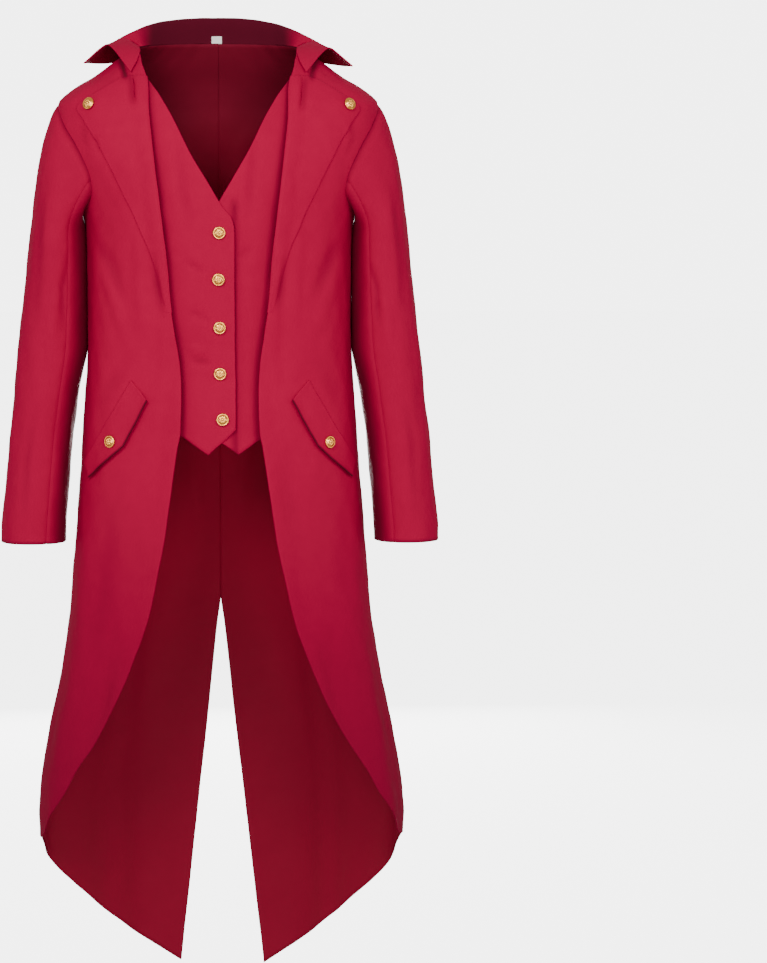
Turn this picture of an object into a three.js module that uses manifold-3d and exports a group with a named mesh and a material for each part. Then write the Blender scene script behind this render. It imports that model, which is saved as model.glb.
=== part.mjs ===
// Long tailcoat with a sewn-in waistcoat front, filled out as if worn.
// Millimetres, +Z up. The front faces -Y and +X is the wearer's left.
// The origin is the centre of the neck opening, level with the neck end of the shoulder seams.
import * as THREE from 'three';
import { mergeVertices } from 'three/addons/utils/BufferGeometryUtils.js';
import Module from 'manifold-3d';

const wasm = await Module();
wasm.setup();

// Cloth walls, as distances outward from the body form.
const CLOTH = { inner: 0, outer: 1.6 };
const LINING = { inner: -1.9, outer: -0.45 };
const LAID = { inner: 1.9, outer: 3.4 };
const SEAM_GAP = 0.3;
const WALL = 1.5;
const BUTTON_GAP = 0.5;

// Buttons.
const BUTTON = { radius: 8.6, height: 5.6, segments: 14 };

// Armhole, in the chart of turn and level: its middle level, half height and bites out of front and back.
const ARMHOLE = { middle: -159.5, half: 75.5, front: 31, back: 34, egg: 0.35 };
const ARMHOLE_ROWS = [0, 14, 28, 45, 65, 90, 115, 135, 152, 166, 180];

// Squareness of the body's level sections.
const SQUARE = 2.2;

// Body form: at each level its half width, and its depth before and behind the side seams.
const BODY = [
  { z: 30, wide: 80, front: 50, back: 58 },
  { z: 14, wide: 86, front: 56, back: 62 },
  { z: 0, wide: 97, front: 62, back: 66 },
  { z: -9, wide: 108, front: 66, back: 70 },
  { z: -29, wide: 140.5, front: 76, back: 80 },
  { z: -43, wide: 159.5, front: 83, back: 88 },
  { z: -54, wide: 175.5, front: 88, back: 94 },
  { z: -62, wide: 190, front: 91, back: 97 },
  { z: -73, wide: 206, front: 95, back: 101 },
  { z: -84, wide: 218, front: 99, back: 104 },
  { z: -92, wide: 222, front: 102, back: 106 },
  { z: -115, wide: 222, front: 108, back: 110 },
  { z: -136, wide: 219, front: 114, back: 114 },
  { z: -160, wide: 214, front: 118, back: 118 },
  { z: -185, wide: 205, front: 121, back: 120 },
  { z: -210, wide: 195, front: 123, back: 121 },
  { z: -235, wide: 187.5, front: 123, back: 121 },
  { z: -262, wide: 183, front: 122, back: 118 },
  { z: -300, wide: 181.5, front: 120, back: 113 },
  { z: -400, wide: 181, front: 112, back: 101 },
  { z: -440, wide: 182, front: 110, back: 100 },
  { z: -498, wide: 186.5, front: 111, back: 105 },
  { z: -561, wide: 190.5, front: 113, back: 113 },
  { z: -624, wide: 195.5, front: 116, back: 122 },
  { z: -708, wide: 202.5, front: 118, back: 130 },
  { z: -793, wide: 209.5, front: 117, back: 135 },
  { z: -878, wide: 222.5, front: 114, back: 139 },
  { z: -964, wide: 240.5, front: 109, back: 142 },
  { z: -1049, wide: 253.5, front: 103, back: 145 },
  { z: -1112, wide: 256.5, front: 100, back: 147 },
  { z: -1330, wide: 258, front: 100, back: 152 },
];

// Large soft folds: where each lies (turn from the front centre), how wide and deep it is, and its span.
const FOLDS = [
  { side: 1, turn: 158, half: 15, depth: 7, top: -560, foot: -1150 },
  { side: 1, turn: 133, half: 13, depth: -6, top: -640, foot: -1120 },
  { side: 1, turn: 112, half: 12, depth: 5, top: -600, foot: -1080 },
  { side: 1, turn: 62, half: 13, depth: 5, top: -600, foot: -1000 },
  { side: 1, turn: 44, half: 10, depth: -4, top: -640, foot: -960 },
  { side: 1, turn: 147, half: 7, depth: -3, top: -330, foot: -430 },
  { side: -1, turn: 155, half: 16, depth: 6, top: -540, foot: -1180 },
  { side: -1, turn: 130, half: 12, depth: -5, top: -620, foot: -1140 },
  { side: -1, turn: 110, half: 13, depth: 6, top: -650, foot: -1070 },
  { side: -1, turn: 64, half: 14, depth: 4, top: -570, foot: -1010 },
  { side: -1, turn: 45, half: 10, depth: -5, top: -660, foot: -950 },
  { side: -1, turn: 148, half: 7, depth: -3, top: -320, foot: -440 },
];

// Front's free edge: neck, turned roll, waist and cutaway.
const FRONT_EDGE = [
  { z: -10, x: 107.5 },
  { z: -18, x: 107 },
  { z: -30, x: 105 },
  { z: -44, x: 101 },
  { z: -57, x: 97.3 },
  { z: -94, x: 94.3 },
  { z: -175, x: 85.4 },
  { z: -238, x: 78.1 },
  { z: -296, x: 71.2 },
  { z: -352, x: 66.5 },
  { z: -401, x: 59.5 },
  { z: -448, x: 53 },
  { z: -486, x: 51.5 },
  { z: -535, x: 53 },
  { z: -554, x: 56.5 },
  { z: -619, x: 65.7 },
  { z: -683, x: 75.1 },
  { z: -739, x: 86.2 },
  { z: -790, x: 97.3 },
  { z: -834, x: 112 },
  { z: -904, x: 140 },
  { z: -954, x: 168.6 },
  { z: -1004, x: 197 },
  { z: -1038, x: 212 },
  { z: -1061, x: 226 },
  { z: -1084, x: 240 },
  { z: -1108, x: 252 },
];

// Back's centre edge: seam, then the vent, whose edges lie together at its top and part below.
const BACK_EDGE = [
  { z: 0, x: 0 },
  { z: -785, x: 0.1 },
  { z: -800, x: 1.6 },
  { z: -820, x: 4.6 },
  { z: -877, x: 11 },
  { z: -965, x: 20 },
  { z: -1054, x: 30.3 },
  { z: -1121, x: 37.7 },
  { z: -1188, x: 45.1 },
  { z: -1255, x: 52.6 },
  { z: -1325, x: 60.2 },
];

// Tail hem: how far it hangs below the side corner, from the vent (0) to the side seam (1).
const HEM = { side: -1108, start: -700, longer: { 1: 6, '-1': 0 }, rows: [
  { across: 0, drop: 217 },
  { across: 0.11, drop: 190 },
  { across: 0.21, drop: 166 },
  { across: 0.32, drop: 141 },
  { across: 0.43, drop: 116 },
  { across: 0.55, drop: 90 },
  { across: 0.67, drop: 63 },
  { across: 0.8, drop: 33 },
  { across: 0.88, drop: 13 },
  { across: 1, drop: 0 },
] };

// Waistcoat front that lies on top: its free edge, and the edge hidden below the coat front.
const VEST_EDGE = [
  { z: -34, x: 108, hidden: 116 },
  { z: -48, x: 101, hidden: 120 },
  { z: -77, x: 80, hidden: 124 },
  { z: -115, x: 59, hidden: 127 },
  { z: -157, x: 38.5, hidden: 127 },
  { z: -192, x: 17.4, hidden: 126 },
  { z: -222, x: 0, hidden: 124 },
  { z: -231, x: -6, hidden: 123 },
  { z: -242, x: -15.5, hidden: 122 },
  { z: -259, x: -20, hidden: 121 },
  { z: -324, x: -20.2, hidden: 117 },
  { z: -406, x: -20.7, hidden: 110 },
  { z: -530, x: -21.4, hidden: 104 },
  { z: -570, x: -21.4, hidden: 104 },
];
const VEST_HEMS = {
  right: [
    { across: 0, z: -531 },
    { across: 0.25, z: -565 },
    { across: 0.52, z: -540.5 },
    { across: 1, z: -528 },
  ],
  left: [
    { across: 0, z: -534 },
    { across: 0.32, z: -565 },
    { across: 0.53, z: -546.5 },
    { across: 1, z: -528 },
  ],
};
// The waistcoat's depth below the coat cloth.
const VEST_SINK = [
  { z: -30, inner: -3.6 },
  { z: -120, inner: -5.5 },
  { z: -230, inner: -8 },
  { z: -600, inner: -8.4 },
];
const VEST_UNDER = 2.2;
// Where its hidden edge is sewn, and how far from that edge it starts to rise.
const VEST_SEAT = { inner: -2.5, from: 0.74 };

// Lapel outline on the wearer's left front, seen from the front.
const LAPEL = [
  { x: 92, z: -52 },
  { x: 122, z: -52 },
  { x: 150, z: -66 },
  { x: 195, z: -90 },
  { x: 196.5, z: -96 },
  { x: 186, z: -113 },
  { x: 167, z: -142 },
  { x: 146, z: -176 },
  { x: 117, z: -233 },
  { x: 92, z: -290 },
  { x: 77, z: -336 },
  { x: 69, z: -372 },
  { x: 50, z: -372 },
  { x: 50, z: -200 },
];

// Pocket flap: sewn edge from its upper to its outer end, and the corners of its free edge.
const FLAP = { top: { x: 120.5, z: -465 }, outer: { x: 186, z: -579.5 }, rows: [
  { along: 0.09, wide: 34 },
  { along: 0.62, wide: 36 },
  { along: 1.1, wide: 18 },
] };

// Half-belt at the back waist.
const BELT = { z: -425, half: 92, tall: 38, point: 19 };

// Sleeve sections on the wearer's left, as inner faces: centre, half width and half depth.
const SLEEVE_SQUARE = 2.15;
const SLEEVE = [
  { z: -262, x: 223.5, y: 3, wide: 35.7, deep: 67 },
  { z: -300, x: 225.4, y: 4, wide: 38.6, deep: 66 },
  { z: -350, x: 228.2, y: 5, wide: 41.6, deep: 64 },
  { z: -400, x: 232, y: 5, wide: 43.6, deep: 62 },
  { z: -435, x: 235.3, y: 4, wide: 44.6, deep: 60 },
  { z: -456, x: 237.5, y: 3, wide: 44.2, deep: 59 },
  { z: -498, x: 241.9, y: 0, wide: 43, deep: 57 },
  { z: -540, x: 247.6, y: -3, wide: 42.8, deep: 55 },
  { z: -582, x: 251.3, y: -6, wide: 42.4, deep: 53 },
  { z: -624, x: 255, y: -9, wide: 42.8, deep: 52 },
  { z: -666, x: 258.8, y: -11, wide: 43.4, deep: 51 },
  { z: -691, x: 259.6, y: -12, wide: 42.8, deep: 51 },
];
const SLEEVE_LEVELS = [-262, -290, -325, -365, -405, -445, -490, -535, -580, -625, -660, -691];
const CAP_STEPS = [0, 0.12, 0.28, 0.48, 0.7];
// Sleeve head: flush with the shoulder at the top, and lifted off the armhole's edge further round.
const SLEEVE_HEAD = { flush: 0.4, lift: 2.9, low: 1.4, gap: 1.3 };
// Seams of the sleeve, as turns from its outer side toward the front.
const SLEEVE_SEAM = { front: 115, elbow: -95 };

// Collar stations from the back centre (0) to the front end (1): seam on the form, roll and outer edge.
const COLLAR = [
  { along: 0, seamX: 0, seamZ: -1, lie: 0.8, rollX: 0, rollY: 71, rollZ: 35, edgeX: 0, edgeY: 89, edgeZ: -9 },
  { along: 0.22, seamX: 40, seamZ: -1.5, lie: 0.8, rollX: 40, rollY: 68, rollZ: 33.5, edgeX: 50, edgeY: 85, edgeZ: -10 },
  { along: 0.42, seamX: 74, seamZ: -3.2, lie: 0.8, rollX: 75, rollY: 58, rollZ: 29.5, edgeX: 90, edgeY: 70, edgeZ: -13 },
  { along: 0.56, seamX: 94, seamZ: -5.4, lie: 0.9, rollX: 98, rollY: 44, rollZ: 23, edgeX: 116, edgeY: 51, edgeZ: -20 },
  { along: 0.68, seamX: 104.5, seamZ: -7.7, lie: 1.6, rollX: 119, rollY: 27, rollZ: 12.5, edgeX: 138, edgeY: 32, edgeZ: -27 },
  { along: 0.78, seamX: 108.6, seamZ: -9.3, lie: 3.5, rollX: 134, rollY: 11, rollZ: 4, edgeX: 157, edgeY: 18, edgeZ: -30.5 },
  { along: 0.88, seamX: 111, seamZ: -19, lie: 4.6, rollX: 144, rollY: -3, rollZ: -2, edgeX: 172, edgeY: 4, edgeZ: -31 },
  { along: 0.95, seamX: 116, seamZ: -33, lie: 4.6, rollX: 149, rollY: -12, rollZ: -5, edgeX: 180, edgeY: -8, edgeZ: -31 },
  { along: 1, seamX: 121.6, seamZ: -47.5, lie: 4.6, rollX: 152, rollY: -20, rollZ: -6.3, edgeX: 184.5, edgeY: -17, edgeZ: -31.5 },
];
const COLLAR_STEPS = [0, 0.12, 0.24, 0.36, 0.48, 0.58, 0.68, 0.78, 0.88, 1];
// The collar sits lower toward its left end.
const COLLAR_SAG = 3.8;
const COLLAR_WALL = { inner: -0.8, outer: 0.8 };
const COLLAR_RUN = [0, 0.4, 0.75, 0.92, 1.05, 1.25, 1.6, 2];

// Blank neck label on the inside of the stand.
const LABEL = { from: 0.55, to: 0.09, low: 0.14, high: 0.52, inner: 2.2, outer: 1.2 };

const COLOURS = { coat: 0xb01838, vest: 0xb01838, lining: 0x64101c, brass: 0xd9b166, label: 0xe8e2dc };

const degrees = (turn) => (turn * Math.PI) / 180;
const mix = (a, b, share) => a + (b - a) * share;

// Smooth curve through a table's column, without overshoot.
function curveOf(rows, key, column) {
  const sorted = [...rows].sort((a, b) => a[key] - b[key]);
  const at = sorted.map((row) => row[key]);
  const to = sorted.map((row) => row[column]);
  const last = at.length - 1;
  const rise = at.slice(1).map((value, i) => (to[i + 1] - to[i]) / (value - at[i]));
  const slope = at.map((value, i) => {
    if (i === 0 || i === last) return 0;
    const before = rise[i - 1];
    const after = rise[i];
    return before * after <= 0 ? 0 : (2 * before * after) / (before + after);
  });
  slope[0] = rise[0];
  slope[last] = rise[last - 1];
  return (value) => {
    const t = Math.min(Math.max(value, at[0]), at[last]);
    let i = 0;
    while (i < last - 1 && t > at[i + 1]) i += 1;
    const step = at[i + 1] - at[i];
    const s = (t - at[i]) / step;
    const s2 = s * s;
    const s3 = s2 * s;
    return (2 * s3 - 3 * s2 + 1) * to[i] + (s3 - 2 * s2 + s) * step * slope[i]
      + (3 * s2 - 2 * s3) * to[i + 1] + (s3 - s2) * step * slope[i + 1];
  };
}

// Straight steps through a table's column.
function stepsOf(rows, key, column) {
  return (value) => {
    let i = 0;
    while (i < rows.length - 2 && value > rows[i + 1][key]) i += 1;
    const a = rows[i];
    const b = rows[i + 1];
    const s = Math.min(Math.max((value - a[key]) / (b[key] - a[key]), 0), 1);
    return mix(a[column], b[column], s);
  };
}

const bodyWide = curveOf(BODY, 'z', 'wide');
const bodyFront = curveOf(BODY, 'z', 'front');
const bodyBack = curveOf(BODY, 'z', 'back');
const frontEdge = curveOf(FRONT_EDGE, 'z', 'x');
const backEdge = curveOf(BACK_EDGE, 'z', 'x');
const hemDrop = curveOf(HEM.rows, 'across', 'drop');
const vestEdge = curveOf(VEST_EDGE, 'z', 'x');
const vestHidden = curveOf(VEST_EDGE, 'z', 'hidden');
const vestSink = curveOf(VEST_SINK, 'z', 'inner');

// Depth of the large folds at one place of the form.
function foldDepth(side, turn, z) {
  let depth = 0;
  for (const fold of FOLDS) {
    const off = ((turn * 180) / Math.PI - fold.turn) / fold.half;
    if (fold.side !== side || Math.abs(off) >= 1) continue;
    const down = Math.min(Math.max((fold.top - z) / (fold.top - fold.foot), 0), 1);
    depth += fold.depth * Math.cos((off * Math.PI) / 2) ** 2 * down * down * (3 - 2 * down);
  }
  return depth;
}

// Point of the body form: turn 0 is the front centre, a quarter turn the side, a half turn the back centre.
function formPoint(side, turn, z) {
  const power = 2 / SQUARE;
  const across = Math.sign(Math.sin(turn)) * Math.abs(Math.sin(turn)) ** power;
  const along = Math.abs(Math.cos(turn)) ** power;
  const x = side * bodyWide(z) * across;
  const y = Math.cos(turn) > 0 ? -bodyFront(z) * along : bodyBack(z) * along;
  const reach = Math.hypot(x, y);
  const scale = 1 + foldDepth(side, turn, z) / reach;
  return new THREE.Vector3(x * scale, y * scale, z);
}

// Outward direction of a surface given by a function of two values.
function outwardOf(surface, u, v, stepU, stepV, outside) {
  const alongU = surface(u + stepU, v).sub(surface(u - stepU, v));
  const alongV = surface(u, v + stepV).sub(surface(u, v - stepV));
  const normal = alongU.cross(alongV).normalize();
  return normal.dot(outside) < 0 ? normal.negate() : normal;
}

function formOutward(side, turn, z) {
  const surface = (u, v) => formPoint(side, u, v);
  const outside = new THREE.Vector3(side * Math.sin(turn), -Math.cos(turn), 0.02);
  return outwardOf(surface, turn, z, 0.004, 0.6, outside);
}

// Turn at which the form has a given distance from the middle plane.
function turnAt(x, z, behind = false) {
  const share = Math.min(Math.abs(x) / bodyWide(z), 1) ** (SQUARE / 2);
  const turn = Math.sign(x) * Math.asin(Math.min(share, 1));
  return behind ? Math.PI - turn : turn;
}

// Bite of the armhole out of a panel at one level.
function armholeBite(z, deep) {
  const cosine = (z - ARMHOLE.middle) / ARMHOLE.half;
  if (Math.abs(cosine) >= 1) return 0;
  return degrees(deep * Math.sqrt(1 - cosine * cosine) * (1 - ARMHOLE.egg * cosine));
}

const armholeLevels = ARMHOLE_ROWS.map((turn) => ARMHOLE.middle + ARMHOLE.half * Math.cos(degrees(turn)));

// A grid holds rows of places, each a point and its outward direction.
function gridOf(rows, columns, place) {
  return rows.map((row) => columns.map((column) => place(row, column)));
}

// Moves a grid's border inward along its own cells, so that its faces stay the same.
function trimmed(grid, trim) {
  const rows = grid.length;
  const columns = grid[0].length;
  const copy = grid.map((row) => row.map((cell) => ({ point: cell.point.clone(), out: cell.out.clone() })));
  const pull = (cell, next, distance) => {
    const share = distance / cell.point.distanceTo(next.point);
    cell.point.lerp(next.point, share);
    cell.out.lerp(next.out, share).normalize();
  };
  for (let i = 0; i < rows; i += 1) {
    if (trim.first) pull(copy[i][0], copy[i][1], trim.first);
    if (trim.last) pull(copy[i][columns - 1], copy[i][columns - 2], trim.last);
  }
  for (let j = 0; j < columns; j += 1) {
    if (trim.top) pull(copy[0][j], copy[1][j], trim.top);
    if (trim.foot) pull(copy[rows - 1][j], copy[rows - 2][j], trim.foot);
  }
  return copy;
}

// Closed wall on a grid between two distances from it.
function wallGeometry(grid, inner, outer) {
  const rows = grid.length;
  const columns = grid[0].length;
  const points = [];
  const faces = [];
  const distanceAt = (distance, cell) => (typeof distance === 'function' ? distance(cell) : distance);
  for (const distance of [outer, inner]) {
    for (const row of grid) {
      for (const cell of row) {
        const point = cell.point.clone().addScaledVector(cell.out, distanceAt(distance, cell));
        points.push(point.x, point.y, point.z);
      }
    }
  }
  const layer = rows * columns;
  const index = (i, j, under) => i * columns + j + (under ? layer : 0);
  const quad = (a, b, c, d) => faces.push(a, b, c, a, c, d);
  for (let i = 0; i < rows - 1; i += 1) {
    for (let j = 0; j < columns - 1; j += 1) {
      quad(index(i, j), index(i + 1, j), index(i + 1, j + 1), index(i, j + 1));
      quad(index(i, j, 1), index(i, j + 1, 1), index(i + 1, j + 1, 1), index(i + 1, j, 1));
    }
    quad(index(i, 0), index(i, 0, 1), index(i + 1, 0, 1), index(i + 1, 0));
    quad(index(i + 1, columns - 1), index(i + 1, columns - 1, 1), index(i, columns - 1, 1), index(i, columns - 1));
  }
  for (let j = 0; j < columns - 1; j += 1) {
    quad(index(0, j + 1), index(0, j + 1, 1), index(0, j, 1), index(0, j));
    quad(index(rows - 1, j), index(rows - 1, j, 1), index(rows - 1, j + 1, 1), index(rows - 1, j + 1));
  }
  return outwardGeometry(points, faces);
}

// Geometry whose faces are turned so that the enclosed volume is positive.
function outwardGeometry(points, faces) {
  const corner = (i) => new THREE.Vector3(points[3 * i], points[3 * i + 1], points[3 * i + 2]);
  let volume = 0;
  for (let i = 0; i < faces.length; i += 3) {
    volume += corner(faces[i]).dot(corner(faces[i + 1]).cross(corner(faces[i + 2])));
  }
  if (volume < 0) {
    for (let i = 0; i < faces.length; i += 3) {
      [faces[i + 1], faces[i + 2]] = [faces[i + 2], faces[i + 1]];
    }
  }
  const geometry = new THREE.BufferGeometry();
  geometry.setAttribute('position', new THREE.Float32BufferAttribute(points, 3));
  geometry.setIndex(faces);
  geometry.computeVertexNormals();
  return geometry;
}

function solidOf(geometry) {
  const bare = geometry.clone();
  bare.deleteAttribute('normal');
  bare.deleteAttribute('uv');
  const merged = mergeVertices(bare, 1e-4);
  return new wasm.Manifold(new wasm.Mesh({
    numProp: 3,
    vertProperties: Float32Array.from(merged.attributes.position.array),
    triVerts: Uint32Array.from(merged.index.array),
  }));
}

// Part of a wall that lies inside an outline seen along Y.
function cutByOutline(wall, outline, depth) {
  const shape = new THREE.Shape(outline.map((corner) => new THREE.Vector2(corner.x, corner.z)));
  const prism = new THREE.ExtrudeGeometry(shape, { depth: depth.to - depth.from, bevelEnabled: false });
  prism.rotateX(Math.PI / 2);
  prism.translate(0, depth.to, 0);
  const mesh = solidOf(wall).intersect(solidOf(prism)).getMesh();
  return outwardGeometry(Array.from(mesh.vertProperties), Array.from(mesh.triVerts));
}

const mirrored = (outline, side) => outline.map((corner) => ({ x: side * corner.x, z: corner.z }));

const coat = new THREE.Group();

function addPiece(name, geometry, colour, roughness = 0.72, metalness = 0) {
  const material = new THREE.MeshStandardMaterial({ color: colour, roughness, metalness });
  const mesh = new THREE.Mesh(geometry, material);
  mesh.name = name;
  coat.add(mesh);
  return mesh;
}

const shares = (count) => Array.from({ length: count + 1 }, (item, i) => i / count);

// Fronts: rows from the neck to the side corner, columns from the free edge to shoulder, armhole and side.
function frontGrid(side) {
  const rows = [-11, -19, -30, -44, -58, -71, ...armholeLevels, -262, -300, -352, -405, -460, -520, -580, -640,
    -700, -760, -820, -880, -940, -1000, -1050, -1085, HEM.side];
  return gridOf(rows, shares(7), (z, across) => {
    const inner = turnAt(frontEdge(z), z);
    const outer = Math.PI / 2 - armholeBite(z, ARMHOLE.front);
    const turn = mix(inner, outer, across);
    return { point: formPoint(side, turn, z), out: formOutward(side, turn, z) };
  });
}

// Backs: columns from the centre seam or vent to shoulder, armhole and side.
function backGrid(side) {
  const rows = [-10, -20, -32, -45, -58, -71, ...armholeLevels, -262, -300, -352, -405, -460, -520, -580, -640,
    -700, -770, -820, -870, -925, -980, -1030, -1075, HEM.side];
  return gridOf(rows, shares(7), (side_z, across) => {
    const neck = Math.min(Math.max((side_z + 58) / 48, 0), 1);
    const tail = Math.min(Math.max((HEM.start - side_z) / (HEM.start - HEM.side), 0), 1) ** 1.5;
    const drop = (share) => hemDrop(share) + HEM.longer[side] * (1 - share);
    const z = side_z + 9 * neck * (1 - across * across) - drop(across) * tail;
    const centre_z = side_z + 9 * neck - drop(0) * tail;
    const inner = Math.PI - turnAt(backEdge(centre_z), centre_z);
    const outer = Math.PI / 2 + armholeBite(side_z, ARMHOLE.back);
    const turn = mix(inner, outer, across);
    return { point: formPoint(side, turn, z), out: formOutward(side, turn, z) };
  });
}

// Waistcoat fronts, from the free edge to the edge below the coat front.
function vestGrid(side, hem) {
  const hemAt = (across) => {
    const next = Math.max(hem.findIndex((row) => row.across >= across), 1);
    const [from, to] = [hem[next - 1], hem[next]];
    return mix(from.z, to.z, (across - from.across) / (to.across - from.across));
  };
  const rows = [-34, -48, -66, -88, -115, -145, -175, -205, -232, -262, -310, -370, -430, -480, -510, -530];
  const [, point, bend] = hem.map((row) => row.across);
  const columns = [0, point / 2, point, (point + bend) / 2, bend, 0.76, 0.9, 1];
  const last = rows[rows.length - 1];
  return gridOf(rows, columns, (level, across) => {
    const tail = Math.min(Math.max((-430 - level) / (-430 - last), 0), 1);
    const z = mix(level, level + (hemAt(across) - last), tail * tail);
    const inner = turnAt(vestEdge(z), z);
    const outer = turnAt(vestHidden(z), z);
    const turn = mix(inner, outer, across);
    return { point: formPoint(side, turn, z), out: formOutward(side, turn, z), across };
  });
}

// Sleeve surface: steps 0 to 1 run from the armhole to the first full section, levels follow below.
const sleeveAt = Object.fromEntries(['x', 'y', 'wide', 'deep'].map((column) => [column, curveOf(SLEEVE, 'z', column)]));

function sleeveRing(side, turn, z) {
  const power = 2 / SLEEVE_SQUARE;
  const across = Math.sign(Math.cos(turn)) * Math.abs(Math.cos(turn)) ** power;
  const along = Math.sign(Math.sin(turn)) * Math.abs(Math.sin(turn)) ** power;
  const x = sleeveAt.x(z) + sleeveAt.wide(z) * across;
  const y = sleeveAt.y(z) - sleeveAt.deep(z) * along;
  return new THREE.Vector3(side * x, y, z);
}

function armholePoint(side, turn) {
  const z = ARMHOLE.middle + ARMHOLE.half * Math.cos(turn);
  const before = Math.sin(turn) >= 0;
  const deep = before ? ARMHOLE.front : ARMHOLE.back;
  const bite = degrees(deep * Math.abs(Math.sin(turn)) * (1 - ARMHOLE.egg * Math.cos(turn)));
  const place = before ? Math.PI / 2 - bite : Math.PI / 2 + bite;
  const rise = THREE.MathUtils.smoothstep(1 - Math.cos(turn), 0.03, 0.45);
  const lift = SLEEVE_HEAD.flush + SLEEVE_HEAD.lift * rise + SLEEVE_HEAD.low * ((1 - Math.cos(turn)) / 2) ** 2;
  const point = formPoint(side, place, z - SLEEVE_HEAD.gap * (1 - rise));
  return point.addScaledVector(formOutward(side, place, z), lift);
}

function sleevePoint(side, turn, step) {
  const first = SLEEVE[0].z;
  if (step > 1) return sleeveRing(side, turn, first - (step - 1) * 100);
  const start = armholePoint(side, turn);
  const end = sleeveRing(side, turn, first);
  const reach = start.distanceTo(end);
  const low = (1 - Math.cos(turn)) / 2;
  const flank = Math.sin(turn);
  const leave = new THREE.Vector3(side * (0.46 + 0.26 * flank * flank - 0.2 * low), -0.12 * flank, -0.8);
  const arrive = sleeveRing(side, turn, first - 10).sub(end);
  leave.setLength(reach * 0.9);
  arrive.setLength(reach * 0.9);
  const s = step;
  return new THREE.Vector3()
    .addScaledVector(start, 2 * s ** 3 - 3 * s ** 2 + 1)
    .addScaledVector(leave, s ** 3 - 2 * s ** 2 + s)
    .addScaledVector(end, 3 * s ** 2 - 2 * s ** 3)
    .addScaledVector(arrive, s ** 3 - s ** 2);
}

function sleeveGrid(side, from, to, count) {
  const steps = [...CAP_STEPS, ...SLEEVE_LEVELS.map((z) => 1 + (SLEEVE[0].z - z) / 100)];
  const surface = (turn, step) => sleevePoint(side, turn, Math.max(step, 0));
  return gridOf(steps, shares(count), (step, across) => {
    const turn = degrees(mix(from, to, across));
    const point = surface(turn, step);
    const outside = new THREE.Vector3(side * Math.cos(turn), -Math.sin(turn), 0.15 * Math.cos(turn));
    return { point, out: outwardOf(surface, turn, step, 0.02, 0.02, outside) };
  });
}

// Collar surface: run 0 is the neck seam, 1 the roll and 2 the outer edge.
const collarAt = Object.fromEntries(Object.keys(COLLAR[0]).filter((key) => key !== 'along')
  .map((column) => [column, curveOf(COLLAR, 'along', column)]));

function collarPoint(station, run) {
  const side = station < 0 ? -1 : 1;
  const along = Math.abs(station);
  const behind = along < 0.78;
  const x = collarAt.seamX(along);
  const z = collarAt.seamZ(along);
  const turn = turnAt(x, z, behind);
  const lifted = formOutward(1, turn, z);
  const seam = formPoint(1, turn, z).addScaledVector(lifted, collarAt.lie(along));
  seam.z += 0.9 * Math.min(1, Math.max(0, 1 - (along - 0.78) / 0.1));
  const roll = new THREE.Vector3(collarAt.rollX(along), collarAt.rollY(along), collarAt.rollZ(along));
  const edge = new THREE.Vector3(collarAt.edgeX(along), collarAt.edgeY(along), collarAt.edgeZ(along));
  const sag = side > 0 ? COLLAR_SAG * THREE.MathUtils.smoothstep(along, 0.15, 0.7) : 0;
  roll.z -= sag;
  edge.z -= sag * THREE.MathUtils.smoothstep(along, 0.72, 0.95);
  const over = new THREE.Vector3(edge.x - seam.x, edge.y - seam.y, 0).setLength(8);
  const stand = run <= 1;
  const ends = stand ? [seam, roll] : [roll, edge];
  const handles = stand
    ? [seam.clone().lerp(roll, 0.35).addScaledVector(lifted, collarAt.lie(along)), roll.clone().sub(over)]
    : [roll.clone().add(over), edge.clone().lerp(roll, 0.4)];
  const curve = new THREE.CubicBezierCurve3(ends[0], handles[0], handles[1], ends[1]);
  const point = curve.getPoint(stand ? run : run - 1);
  point.x *= side;
  return point;
}

function collarCell(station, run) {
  const surface = (u, v) => collarPoint(u, Math.min(Math.max(v, 0), 2));
  const point = collarPoint(station, run);
  const alongU = surface(Math.min(station + 0.004, 1), run).sub(surface(Math.max(station - 0.004, -1), run));
  const alongV = surface(station, run + 0.01).sub(surface(station, run - 0.01));
  return { point, out: alongU.cross(alongV).normalize() };
}

// Cloth panels.
const backs = {};
const fronts = {};
const names = { 1: 'left', '-1': 'right' };
const half = SEAM_GAP / 2;
const sleeveHalf = 0.25;
for (const side of [1, -1]) {
  const name = names[side];
  const front = trimmed(frontGrid(side), { last: half });
  const back = trimmed(backGrid(side), { first: half, last: half });
  fronts[side] = front;
  backs[side] = back;
  addPiece(`front_${name}`, wallGeometry(front, CLOTH.inner, CLOTH.outer), COLOURS.coat);
  addPiece(`back_${name}`, wallGeometry(back, CLOTH.inner, CLOTH.outer), COLOURS.coat);
  const lining = trimmed(back, { top: 2, first: 2, last: 2, foot: 3 });
  addPiece(`back_lining_${name}`, wallGeometry(lining, LINING.inner, LINING.outer), COLOURS.lining, 0.6);
  const vest = vestGrid(side, VEST_HEMS[name]);
  const under = side === 1 ? VEST_UNDER : 0;
  const sink = (distance) => (cell) => {
    const rise = Math.max(0, (cell.across - VEST_SEAT.from) / (1 - VEST_SEAT.from));
    return mix(vestSink(cell.point.z) - under, VEST_SEAT.inner, rise * rise * (3 - 2 * rise)) + distance;
  };
  addPiece(`vest_${name}`, wallGeometry(vest, sink(0), sink(WALL)), COLOURS.vest);
}

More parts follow.
